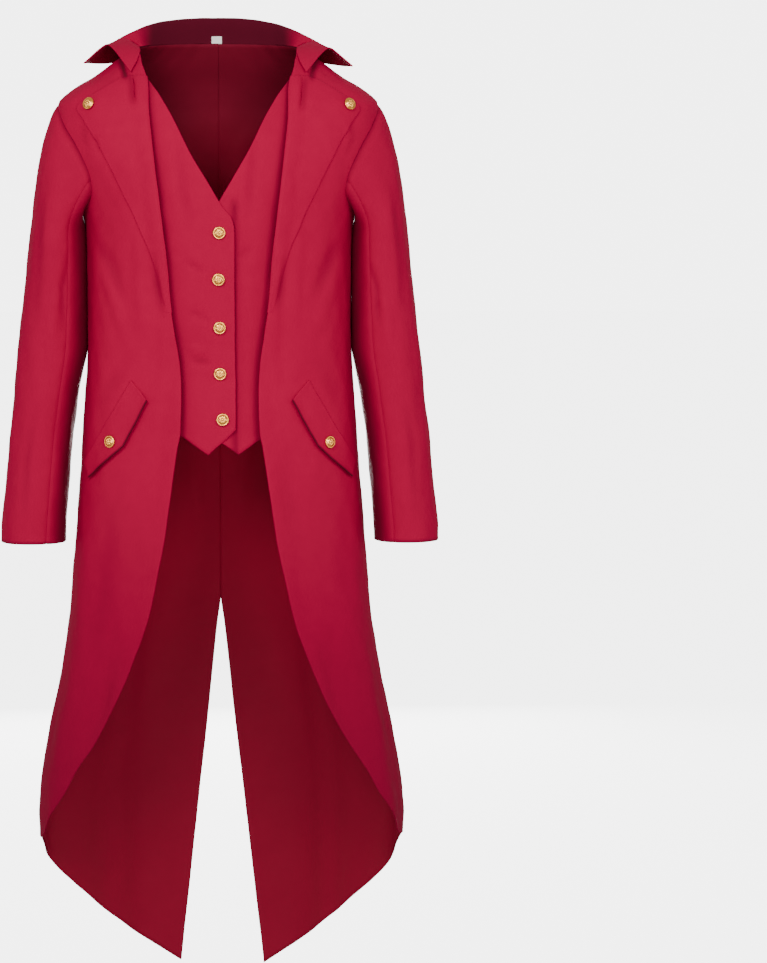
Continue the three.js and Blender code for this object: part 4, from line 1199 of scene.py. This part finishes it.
class SleeveForm:
    """Filled-out form of the sleeves, from the armhole to the cuff."""

    square = 2.15
    # Edge in the armhole: how far it reaches up and in under the body's edge, and hangs lower than the hole.
    tuck_up, tuck_in, low = 4.2, 2.2, 1.3

    def __init__(self) -> None:
        """Fits the form's curves."""
        self.x, self.y, self.wide, self.deep = (Curve(SLEEVE, column) for column in (1, 2, 3, 4))
        self.pressed = Curve(SLEEVE_PRESSED)

    def ring(self, side: int, turn: Array, z: Array) -> Array:
        """Returns the point of a level section at a turn from the outer side."""
        power = 2 / self.square
        across = squared_off(np.cos(turn), power)
        along = squared_off(np.sin(turn), power)
        inner = self.pressed(z) * np.clip(-np.cos(turn), 0, 1)
        x = side * (self.x(z) + self.wide(z) * across - inner)
        y = self.y(z) - self.deep(z) * along
        return np.stack(np.broadcast_arrays(x, y, z), axis=-1)

    def armhole(self, side: int, turn: Array, tuck: Array) -> Array:
        """Returns the armhole's edge, lifted off the body."""
        z = ARMHOLE_MIDDLE + ARMHOLE_HALF * np.cos(turn)
        before = np.sin(turn) >= 0
        deep = np.where(before, ARMHOLE_FRONT, ARMHOLE_BACK)
        bite = np.radians(deep * np.abs(np.sin(turn)) * (1 - ARMHOLE_EGG * np.cos(turn)))
        place = np.where(before, math.pi / 2 - bite, math.pi / 2 + bite)
        rise = smooth((1 - np.cos(turn) - 0.03) / 0.42)
        lift = 0.4 + 2.9 * rise + 1.4 * ((1 - np.cos(turn)) / 2) ** 2
        point = FORM.point(side, place, z + (self.tuck_up * tuck - self.low) * (1 - rise))
        return point + FORM.outward(side, place, z) * (lift * (1 - tuck) - self.tuck_in * tuck)[..., None]

    def bare(self, side: int, turn: Array, step: Array) -> Array:
        """Returns the sleeve's point without creases; steps 0 to 1 lie between armhole and first section."""
        turn, step = np.broadcast_arrays(np.asarray(turn, float), np.asarray(step, float))
        s = np.clip(step, 0, 1)
        start = self.armhole(side, turn, near(s, 0.045))
        end = self.ring(side, turn, np.full(turn.shape, float(SLEEVE_FIRST)))
        reach = np.linalg.norm(end - start, axis=-1, keepdims=True)
        low, flank = (1 - np.cos(turn)) / 2, np.sin(turn)
        sideways = side * (0.46 + 0.26 * flank**2 - 0.2 * low)
        leave = np.stack([sideways, 0.10 * flank, np.full(turn.shape, -0.8)], axis=-1)
        arrive = self.ring(side, turn, np.full(turn.shape, SLEEVE_FIRST - 10.0)) - end
        leave, arrive = unit(leave) * reach * 0.9, unit(arrive) * reach * 0.9
        s = s[..., None]
        cap = (2 * s**3 - 3 * s**2 + 1) * start + (s**3 - 2 * s**2 + s) * leave
        cap = cap + (3 * s**2 - 2 * s**3) * end + (s**3 - s**2) * arrive
        below = self.ring(side, turn, SLEEVE_FIRST - (np.maximum(step, 1) - 1) * SLEEVE_STEP)
        return np.where(step[..., None] > 1, below, cap)

    def grid(self, side: int, turn: Array, step: Array) -> ClothGrid:
        """Returns the sleeve with its creases, over turns and steps."""
        turn, step = np.broadcast_arrays(np.asarray(turn, float), np.asarray(step, float))
        plain = self.bare(side, turn, step)
        arc = np.degrees(np.where(turn > math.radians(180), turn - 2 * math.pi, turn)) * ARC
        z = plain[..., 2]
        across_seam = [crease for crease in SLEEVE_CREASES[side] if crease.path[0][0] < -90]
        height = crease_height(SLEEVE_CREASES[side], arc, z) + crease_height(across_seam, arc + FULL_ARC, z)
        height = (height + ripple(arc, z, 2.3 * side)) * smooth((step - 0.02) / 0.3)
        out = self.away(side, turn, step)
        shown = plain + out * height[..., None]
        around = np.gradient(shown, axis=1)
        down = np.gradient(shown, axis=0)
        normal = unit(np.cross(around, down))
        return ClothGrid(shown, facing(normal, out))

    def away(self, side: int, turn: Array, step: Array) -> Array:
        """Returns the outward direction without creases."""
        around = self.bare(side, turn + 0.02, step) - self.bare(side, turn - 0.02, step)
        down = self.bare(side, turn, step + 0.02) - self.bare(side, turn, step - 0.02)
        normal = unit(np.cross(around, down))
        outside = np.stack([side * np.cos(turn), -np.sin(turn), 0.15 * np.cos(turn)], axis=-1)
        return facing(normal, outside)


SLEEVE_FORM = SleeveForm()


@dataclass
class Sleeves:
    """Top and under sleeves with their seams and cuff vents."""

    finishes: Finishes
    wall: float = 1.5
    front_seam: float = 115
    elbow_seam: float = -95
    vent_top: float = -590

    def steps(self) -> Array:
        """Returns the rows, from the armhole's edge to the cuff."""
        cap = np.array([0, 0.008, 0.018, 0.032, 0.05, 0.08, *np.linspace(0.12, 1, 20)])
        levels = np.array([*np.linspace(SLEEVE_FIRST, -686, 66)[1:], -689.4, CUFF])
        return np.concatenate([cap, 1 + (SLEEVE_FIRST - levels) / SLEEVE_STEP])[:, None]

    def vent(self, grid: ClothGrid) -> Array:
        """Returns the lift of the cuff vent's edge, which lies over the under sleeve."""
        return smooth((self.vent_top - grid.points[..., 2]) / 25) * near(grid.distance(Edge.FIRST), 7.0)

    def build(self) -> None:
        """Builds the four sleeve pieces."""
        for side, name in SIDES.items():
            spans = {
                "top": (self.elbow_seam, self.front_seam, 44),
                "under": (self.front_seam, self.elbow_seam + 360, 32),
            }
            for kind, (start, end, count) in spans.items():
                turn = np.radians(mix(start, end, shares(count, (0.004, 0.011, 0.024))))[None, :]
                grid = SLEEVE_FORM.grid(side, turn, self.steps()).trimmed(first=0.25, last=0.25)
                seam = near(grid.distance(Edge.FIRST, Edge.LAST), 2.4)
                hem = 0.4 * near(grid.distance(Edge.FOOT), 6.0) - 0.9 * seam
                if kind == "top":
                    grid = grid.lifted(1.3 * self.vent(grid))
                # Painted shade: a little over the whole sleeve, strongly on the side turned toward the body,
                # along the armhole seam and the cuff's hem, and in crease troughs.
                inward = smooth((np.degrees(turn) - 112) / 40) * smooth((250 - np.degrees(turn)) / 30)
                ends = np.maximum(0.75 * near(grid.distance(Edge.TOP), 7.0),
                                  0.55 * near(grid.distance(Edge.FOOT), 3.5))
                arc, z = np.degrees(turn) * ARC, grid.points[..., 2]
                folds = fold_shade(SLEEVE_CREASES[side], arc, z)
                folds = folds + fold_shade(SLEEVE_CREASES[side], arc - FULL_ARC, z)
                shade_share = np.maximum(0.07 + 0.75 * inward + folds, ends)
                faces = (0.0, self.wall + hem)
                sew_sheet(f"sleeve_{kind}_cloth_{name}", f"sleeve_{kind}_{name}", grid, faces,
                          self.finishes.lined, shade_share)


class CollarForm:
    """Stand and fall of the collar, with flying points."""

    sag = 3.8

    def __init__(self) -> None:
        """Fits the collar's curves."""
        self.columns = [Curve(COLLAR, column) for column in range(1, 10)]

    def point(self, station: Array, run: Array) -> Array:
        """Returns the collar's point: run 0 is the neck seam, 1 the roll and 2 the outer edge."""
        station, run = np.broadcast_arrays(np.asarray(station, float), np.asarray(run, float))
        side, along = np.where(station < 0, -1.0, 1.0), np.abs(station)
        seam_x, seam_z, lie, rx, ry, rz, ex, ey, ez = (column(along) for column in self.columns)
        front = FORM.turn_at(seam_x, seam_z)
        turn = np.where(along < 0.78, math.pi - front, front)
        normal = FORM.outward(1, turn, seam_z)
        seam = FORM.point(1, turn, seam_z, relief=False) + normal * lie[..., None]
        seam[..., 2] += 0.3 * np.clip(1 - (along - 0.78) / 0.1, 0, 1)
        roll, edge = np.stack([rx, ry, rz], axis=-1), np.stack([ex, ey, ez], axis=-1)
        sag = np.where(side > 0, self.sag * smooth((along - 0.15) / 0.55), 0.0)
        roll[..., 2] -= sag
        edge[..., 2] -= sag * smooth((along - 0.72) / 0.23)
        over = (edge - seam) * np.array([1.0, 1.0, 0.0])
        over = unit(over) * 8
        lifted = mix(seam, roll, 0.35) + normal * lie[..., None]
        t = np.where(run <= 1, run, run - 1)[..., None]
        stand = bezier(seam, lifted, roll - over, roll, t)
        fall = bezier(roll, roll + over, mix(edge, roll, 0.4), edge, t)
        found = np.where(run[..., None] <= 1, stand, fall)
        found[..., 0] *= side
        return found

    def grid(self, station: Array, run: Array) -> ClothGrid:
        """Returns the collar over stations and runs."""
        after, before = np.minimum(station + 0.004, 1), np.maximum(station - 0.004, -1)
        along = self.point(after, run) - self.point(before, run)
        over = self.point(station, np.minimum(run + 0.01, 2)) - self.point(station, np.maximum(run - 0.01, 0))
        return ClothGrid(self.point(station, run), unit(np.cross(along, over)))


def bezier(a: Array, b: Array, c: Array, d: Array, t: Array) -> Array:
    """Returns the points of a cubic curve through a and d with handles b and c."""
    s = 1 - t
    return a * s**3 + b * 3 * s * s * t + c * 3 * s * t * t + d * t**3


COLLAR_FORM = CollarForm()


@dataclass
class Collar:
    """Collar and its blank label."""

    finishes: Finishes
    wall: float = 1.6

    def build(self) -> None:
        """Builds the collar and the label."""
        station = np.array(sorted({*np.round(2 * shares(150, (0.001, 0.003, 0.006)) - 1, 5)}))[:, None]
        run = np.array([0, 0.015, 0.04, *np.linspace(0.09, 0.85, 12), 0.91, 0.96, 1.0, 1.04, 1.09, 1.15,
                        *np.linspace(1.22, 1.94, 13), 1.975, 2.0])[None, :]
        grid = COLLAR_FORM.grid(station, run)
        rows, columns = grid.points.shape[:2]
        along, over = np.broadcast_arrays(np.abs(station), run)
        # Painted shade: the inside of the stand toward the back darkens to dark wine, where shade falls
        # inside the neck.
        inside = smooth((0.72 - along) / 0.2) * smooth((1.0 - over) / 0.12)
        ripples = 0.5 * ripple(grid.points[..., 0], over * 40, 4.0) * smooth(over / 0.5)
        edge = 0.25 * near(grid.distance(Edge.TOP, Edge.FOOT, Edge.LAST), 3.5)
        grid = grid.lifted(ripples)
        outer_first = grid.out[rows // 2, 4, 1] > 0
        half = self.wall / 2
        faces = (-half - edge * outer_first, half + edge * (not outer_first))
        finishes = (self.finishes.under_collar, self.finishes.coat)
        sew_sheet("collar_cloth", "collar", grid, faces, finishes if outer_first else finishes[::-1],
                  inside)
        sign = 1.0 if outer_first else -1.0
        station, run = np.linspace(-0.051, 0.026, 15)[:, None], np.linspace(-0.03, 0.225, 11)[None, :]
        tape = COLLAR_FORM.grid(station, run)
        bow = 0.25 * np.sin(np.linspace(0, math.pi, 15))[:, None] * np.ones((1, 11))
        tape = tape.lifted(-sign * (1.35 + bow))
        sew_sheet("neck_label_tape", "neck_label", tape, (-0.2, 0.2), (self.finishes.tape,))


@dataclass
class Stitching:
    """Rows of raised thread stitches on the half-belt and the collar."""

    finishes: Finishes
    length: float = 3.0
    pitch: float = 4.2
    thick: float = 0.36
    sides: int = 5

    def sew(self, name: str, grid: ClothGrid) -> None:
        """Sews a row of stitches along a line.

        Args:
            name: Name of the row.
            grid: Line of points on the cloth's face, as one column.
        """
        line, out, run = grid.points[:, 0], grid.out[:, 0], grid.run(0)[:, 0]
        points, faces = [], []
        for start in np.arange(0.5, run[-1] - self.length, self.pitch):
            places = start + self.length * np.array([0, 0.2, 0.8, 1])
            path = np.stack([np.interp(places, run, line[:, c]) for c in range(3)], axis=-1)
            up = unit(np.array([np.interp(start, run, out[:, c]) for c in range(3)]))
            beside = unit(np.cross(path[-1] - path[0], up))
            turn = np.linspace(0, 2 * math.pi, self.sides, endpoint=False)[:, None]
            around = self.thick * (np.cos(turn) * beside + np.sin(turn) * up)
            first = len(points)
            rings = [*(path[1] + 0.1 * up + around), *(path[2] + 0.1 * up + around)]
            points += [path[0] - 0.3 * up, *rings, path[3] - 0.3 * up]
            for k in range(self.sides):
                a, b = first + 1 + k, first + 1 + (k + 1) % self.sides
                faces += [(first, b, a), (a, b, b + self.sides, a + self.sides),
                          (a + self.sides, b + self.sides, first + 2 * self.sides + 1)]
        settle(new_mesh_object(name, np.array(points), faces, (self.finishes.thread,)), "")

    def build(self) -> None:
        """Sews round the half-belt and along the collar's outer edge."""
        laid = LaidPieces(self.finishes)
        wide, tall = laid.belt_half, laid.belt_tall / 2
        corners = [(-wide + 8, 0), (-wide + 21, 13.5), (wide - 21, 13.5), (wide - 8, 0), (wide - 21, -13.5),
                   (-wide + 21, -13.5), (-wide + 8, 0)]
        path = np.concatenate([np.linspace(one, two, 40)[:-1] for one, two in zip(corners, corners[1:])])
        belt = on_form(1, (path + np.array([0, laid.belt_level]))[:, None], behind=True)
        droop = laid.belt_droop(path[:, :1] / wide, path[:, 1:] / tall)
        self.sew("belt_stitches", belt.lifted(laid.outer + droop - 0.3))
        station = np.linspace(-0.985, 0.985, 300)[:, None]
        collar = COLLAR_FORM.grid(station, np.full(station.shape, 1.92))
        toward = np.where(collar.out[150, 0, 1] > 0, 1.0, -1.0)
        self.sew("collar_stitches", collar.lifted(0.85 * toward))


# Button's foot and profile: radius and height.
BUTTON_FOOT = (2.6, -1.1)
BUTTON_PROFILE = (
    (2.6, 0.0), (7.3, 0.0), (8.2, 0.5), (8.6, 1.3), (8.5, 2.1), (8.0, 2.6), (7.5, 2.75), (7.1, 2.5),
    (6.7, 2.55), (6.2, 3.3), (5.5, 3.95), (4.9, 4.3),
)
# Buttons on the front: distance to the wearer's left and level.
FRONT_BUTTONS = (
    ("lapel_right", -173.5, -90), ("lapel_left", 176.2, -90.2), ("flap_right", -147, -548.5),
    ("flap_left", 147.2, -550.5), ("vest_1", -0.1, -263.5), ("vest_2", -1.4, -327), ("vest_3", 0.1, -392.4),
    ("vest_4", 0.3, -455), ("vest_5", 3.4, -517),
)
# Belt button's distance from the middle; cuff buttons' levels and turn from the outer side.
BELT_BUTTON = 72.0
CUFF_BUTTONS, CUFF_BUTTON_TURN = (-602, -628, -655), -77


@dataclass
class Buttons:
    """Domed buttons with a rim and a plain rosette."""

    finishes: Finishes
    gap: float = 0.5
    laid: float = 3.4
    wall: float = 1.5
    sides: int = 32

    def model(self) -> Object:
        """Returns one button, modelled upright at the origin."""
        bpy.ops.object.select_all(action="DESELECT")
        radius, level = BUTTON_FOOT
        bpy.ops.mesh.primitive_circle_add(
            vertices=self.sides, radius=radius * MM, fill_type="NGON", location=(0, 0, level * MM))
        made = bpy.context.object
        bpy.ops.object.mode_set(mode="EDIT")
        bpy.ops.mesh.select_all(action="SELECT")
        for wide, up in BUTTON_PROFILE:
            self.raise_top(wide / radius, up - level)
            radius, level = wide, up
        bpy.ops.mesh.inset(thickness=2.5 * MM, depth=0.55 * MM)
        bpy.ops.mesh.inset(thickness=0.35 * MM, depth=-0.35 * MM)
        self.raise_top(0.94, 0.55)
        self.raise_top(0.6, 0.25)
        bpy.ops.object.mode_set(mode="OBJECT")
        for face in made.data.polygons:
            centre = face.center / MM
            wide = math.hypot(centre.x, centre.y)
            turn = (math.degrees(math.atan2(centre.y, centre.x)) + 360) % 45
            face.select = 2.8 < wide < 4.6 and face.normal.z > 0.2 and 11 < turn < 34
        bpy.ops.object.mode_set(mode="EDIT")
        bpy.ops.mesh.inset(thickness=0.2 * MM, depth=0.42 * MM)
        bpy.ops.mesh.select_all(action="SELECT")
        bpy.ops.mesh.normals_make_consistent(inside=False)
        bpy.ops.object.mode_set(mode="OBJECT")
        rounded = made.modifiers.new("rounded", "SUBSURF")
        rounded.levels = rounded.render_levels = 1
        bpy.ops.object.modifier_apply(modifier=rounded.name)
        return made

    @staticmethod
    def raise_top(grow: float, up: float) -> None:
        """Raises a copy of the selected face and changes its width."""
        bpy.ops.mesh.extrude_region_move(TRANSFORM_OT_translate={"value": (0, 0, up * MM)})
        bpy.ops.transform.resize(value=(grow, grow, 1), center_override=(0, 0, 0))

    @staticmethod
    def recesses(mesh: Mesh) -> Array:
        """Returns how hollow the surface is at each vertex, from 0 to 1."""
        points = np.array([vertex.co for vertex in mesh.vertices]) / MM
        normals = np.array([vertex.normal for vertex in mesh.vertices])
        total, count = np.zeros_like(points), np.zeros((len(points), 1))
        for edge in mesh.edges:
            one, two = edge.vertices
            total[one] += points[two]
            total[two] += points[one]
            count[one] += 1
            count[two] += 1
        hollow = np.sum((total / np.maximum(count, 1) - points) * normals, axis=1)
        return np.clip(hollow / 0.07, 0, 1)

    def places(self) -> list[tuple[str, Array, Array]]:
        """Returns each button's node, foot and outward direction."""
        found = []
        for name, x, z in FRONT_BUTTONS:
            side, laid = -1 if x < 0 else 1, not name.startswith("vest")
            lift = self.laid if laid else float(Curve(VEST_SINK)(z)) + self.wall
            turn = FORM.turn_at(abs(x), z)
            bare = FORM.point(side, turn, z, relief=laid)
            found.append((f"button_{name}", bare, FORM.outward(side, turn, z), lift + self.gap))
        for side, name in SIDES.items():
            z = BELT_LEVEL
            turn = FORM.turn_at(BELT_BUTTON, z, behind=True)
            found.append((f"button_belt_{name}", FORM.point(side, turn, z), FORM.outward(side, turn, z),
                          self.laid + self.gap))
            for i, z in enumerate(CUFF_BUTTONS):
                turn = np.array([[math.radians(CUFF_BUTTON_TURN)]])
                step = np.array([[1 + (SLEEVE_FIRST - z) / SLEEVE_STEP]])
                foot = SLEEVE_FORM.bare(side, turn, step)[0, 0]
                found.append((f"button_cuff_{name}_{i + 1}", foot, SLEEVE_FORM.away(side, turn, step)[0, 0],
                              self.wall + self.gap))
        return [(name, point + out * lift, out) for name, point, out, lift in found]

    def build(self) -> None:
        """Builds every button as a copy of one."""
        one = self.model()
        one.data.materials.append(self.finishes.metal)
        recess = self.recesses(one.data)
        hollows = one.data.attributes.new("recess", "FLOAT", "POINT")
        hollows.data.foreach_set("value", recess.astype(np.float32))
        one.data.polygons.foreach_set("use_smooth", [True] * len(one.data.polygons))
        for index, (node, foot, out) in enumerate(self.places()):
            mesh = one.data.copy()
            spin = Matrix.Rotation(0.9 * index, 4, "Z")
            stand = Vector(out).to_track_quat("Z", "Y").to_matrix().to_4x4()
            mesh.transform(Matrix.Translation(Vector(foot * MM)) @ stand @ spin)
            settle(new_object(f"gilt_{node}", mesh), node)
        bpy.data.objects.remove(one)


# Lights: name, place and size in metres, and power in watts.
LIGHTS = (
    ("key_light", (-1.1, -2.6, 0.9), 1.2, 60), ("side_light", (1.3, -2.8, 0.7), 1.4, 48),
    ("fill_light", (0.1, -3.4, -0.9), 1.4, 43), ("wing_light_left", (2.9, -0.9, -0.8), 1.4, 17),
    ("wing_light_right", (-2.9, -0.9, -0.8), 1.4, 17), ("back_light", (0.0, 3.0, -0.4), 1.6, 165),
)


@dataclass
class Studio:
    """Pale floor, soft lights and the camera.

    Attributes:
        floor_level: Height of the floor, in metres.
        waist: What the lights face.
        camera_from: Place of the camera.
        camera_to: What the camera faces.
        lens: Focal length in millimetres.
        grey: Grey of the floor.
        air: Strength of the air's light on the coat.
        paper: Brightness of air and floor as the camera sees them.
    """

    floor_level: float = -1.40
    waist: tuple[float, float, float] = (0.0, 0.0, -0.35)
    camera_from: tuple[float, float, float] = (0.0, -4.483, -0.220)
    camera_to: tuple[float, float, float] = (0.2284, 0.0, -0.612)
    lens: float = 120.2
    grey: float = 0.30
    air: float = 0.50
    paper: float = 5.0

    def light(self, name: str, place: tuple[float, float, float], size: float, power: float) -> None:
        """Adds a soft square light that faces the coat's waist."""
        lamp = bpy.data.lights.new(name, "AREA")
        lamp.size, lamp.energy = size, power
        aim(new_object(name, lamp), place, self.waist)

    def build(self) -> None:
        """Builds floor, world, lights and camera."""
        bpy.ops.object.select_all(action="DESELECT")
        bpy.ops.mesh.primitive_plane_add(size=60, location=(0, 0, self.floor_level))
        floor = bpy.context.object
        floor.name = "studio_floor"
        tree = NodeTree("pale_floor")
        seen = tree.add("ShaderNodeLightPath").outputs["Is Camera Ray"]
        tree.fit(
            Base_Color=(self.grey, self.grey, self.grey, 1), Roughness=0.9, Emission_Color=(1.0, 1.0, 1.0, 1),
            Emission_Strength=tree.spread(seen, 0.0, self.paper - 0.35),
        )
        floor.data.materials.append(tree.material)
        world = bpy.data.worlds.new("studio_air")
        bpy.context.scene.world = world
        world.use_nodes = True
        nodes, links = world.node_tree.nodes, world.node_tree.links
        sky = next(node for node in nodes if node.type == "BACKGROUND")
        sky.inputs["Color"].default_value = (1.0, 1.0, 1.0, 1)
        level = nodes.new("ShaderNodeMapRange")
        level.inputs["To Min"].default_value, level.inputs["To Max"].default_value = self.air, self.paper
        links.new(nodes.new("ShaderNodeLightPath").outputs["Is Camera Ray"], level.inputs["Value"])
        links.new(level.outputs["Result"], sky.inputs["Strength"])
        for name, place, size, power in LIGHTS:
            self.light(name, place, size, power)
        camera = bpy.data.cameras.new("photo_camera")
        camera.lens = self.lens
        bpy.context.scene.camera = new_object("photo_camera", camera)
        aim(bpy.context.scene.camera, self.camera_from, self.camera_to)


def main() -> None:
    """Builds the coat and its studio."""
    logging.basicConfig(level=logging.INFO, format="%(message)s")
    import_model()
    finishes = make_finishes()
    for part in (BodyPanels, VestFronts, LaidPieces, Sleeves, Collar, Stitching, Buttons):
        part(finishes).build()
        LOG.info("%s built", part.__name__)
    Studio().build()


if __name__ == "__main__":
    main()
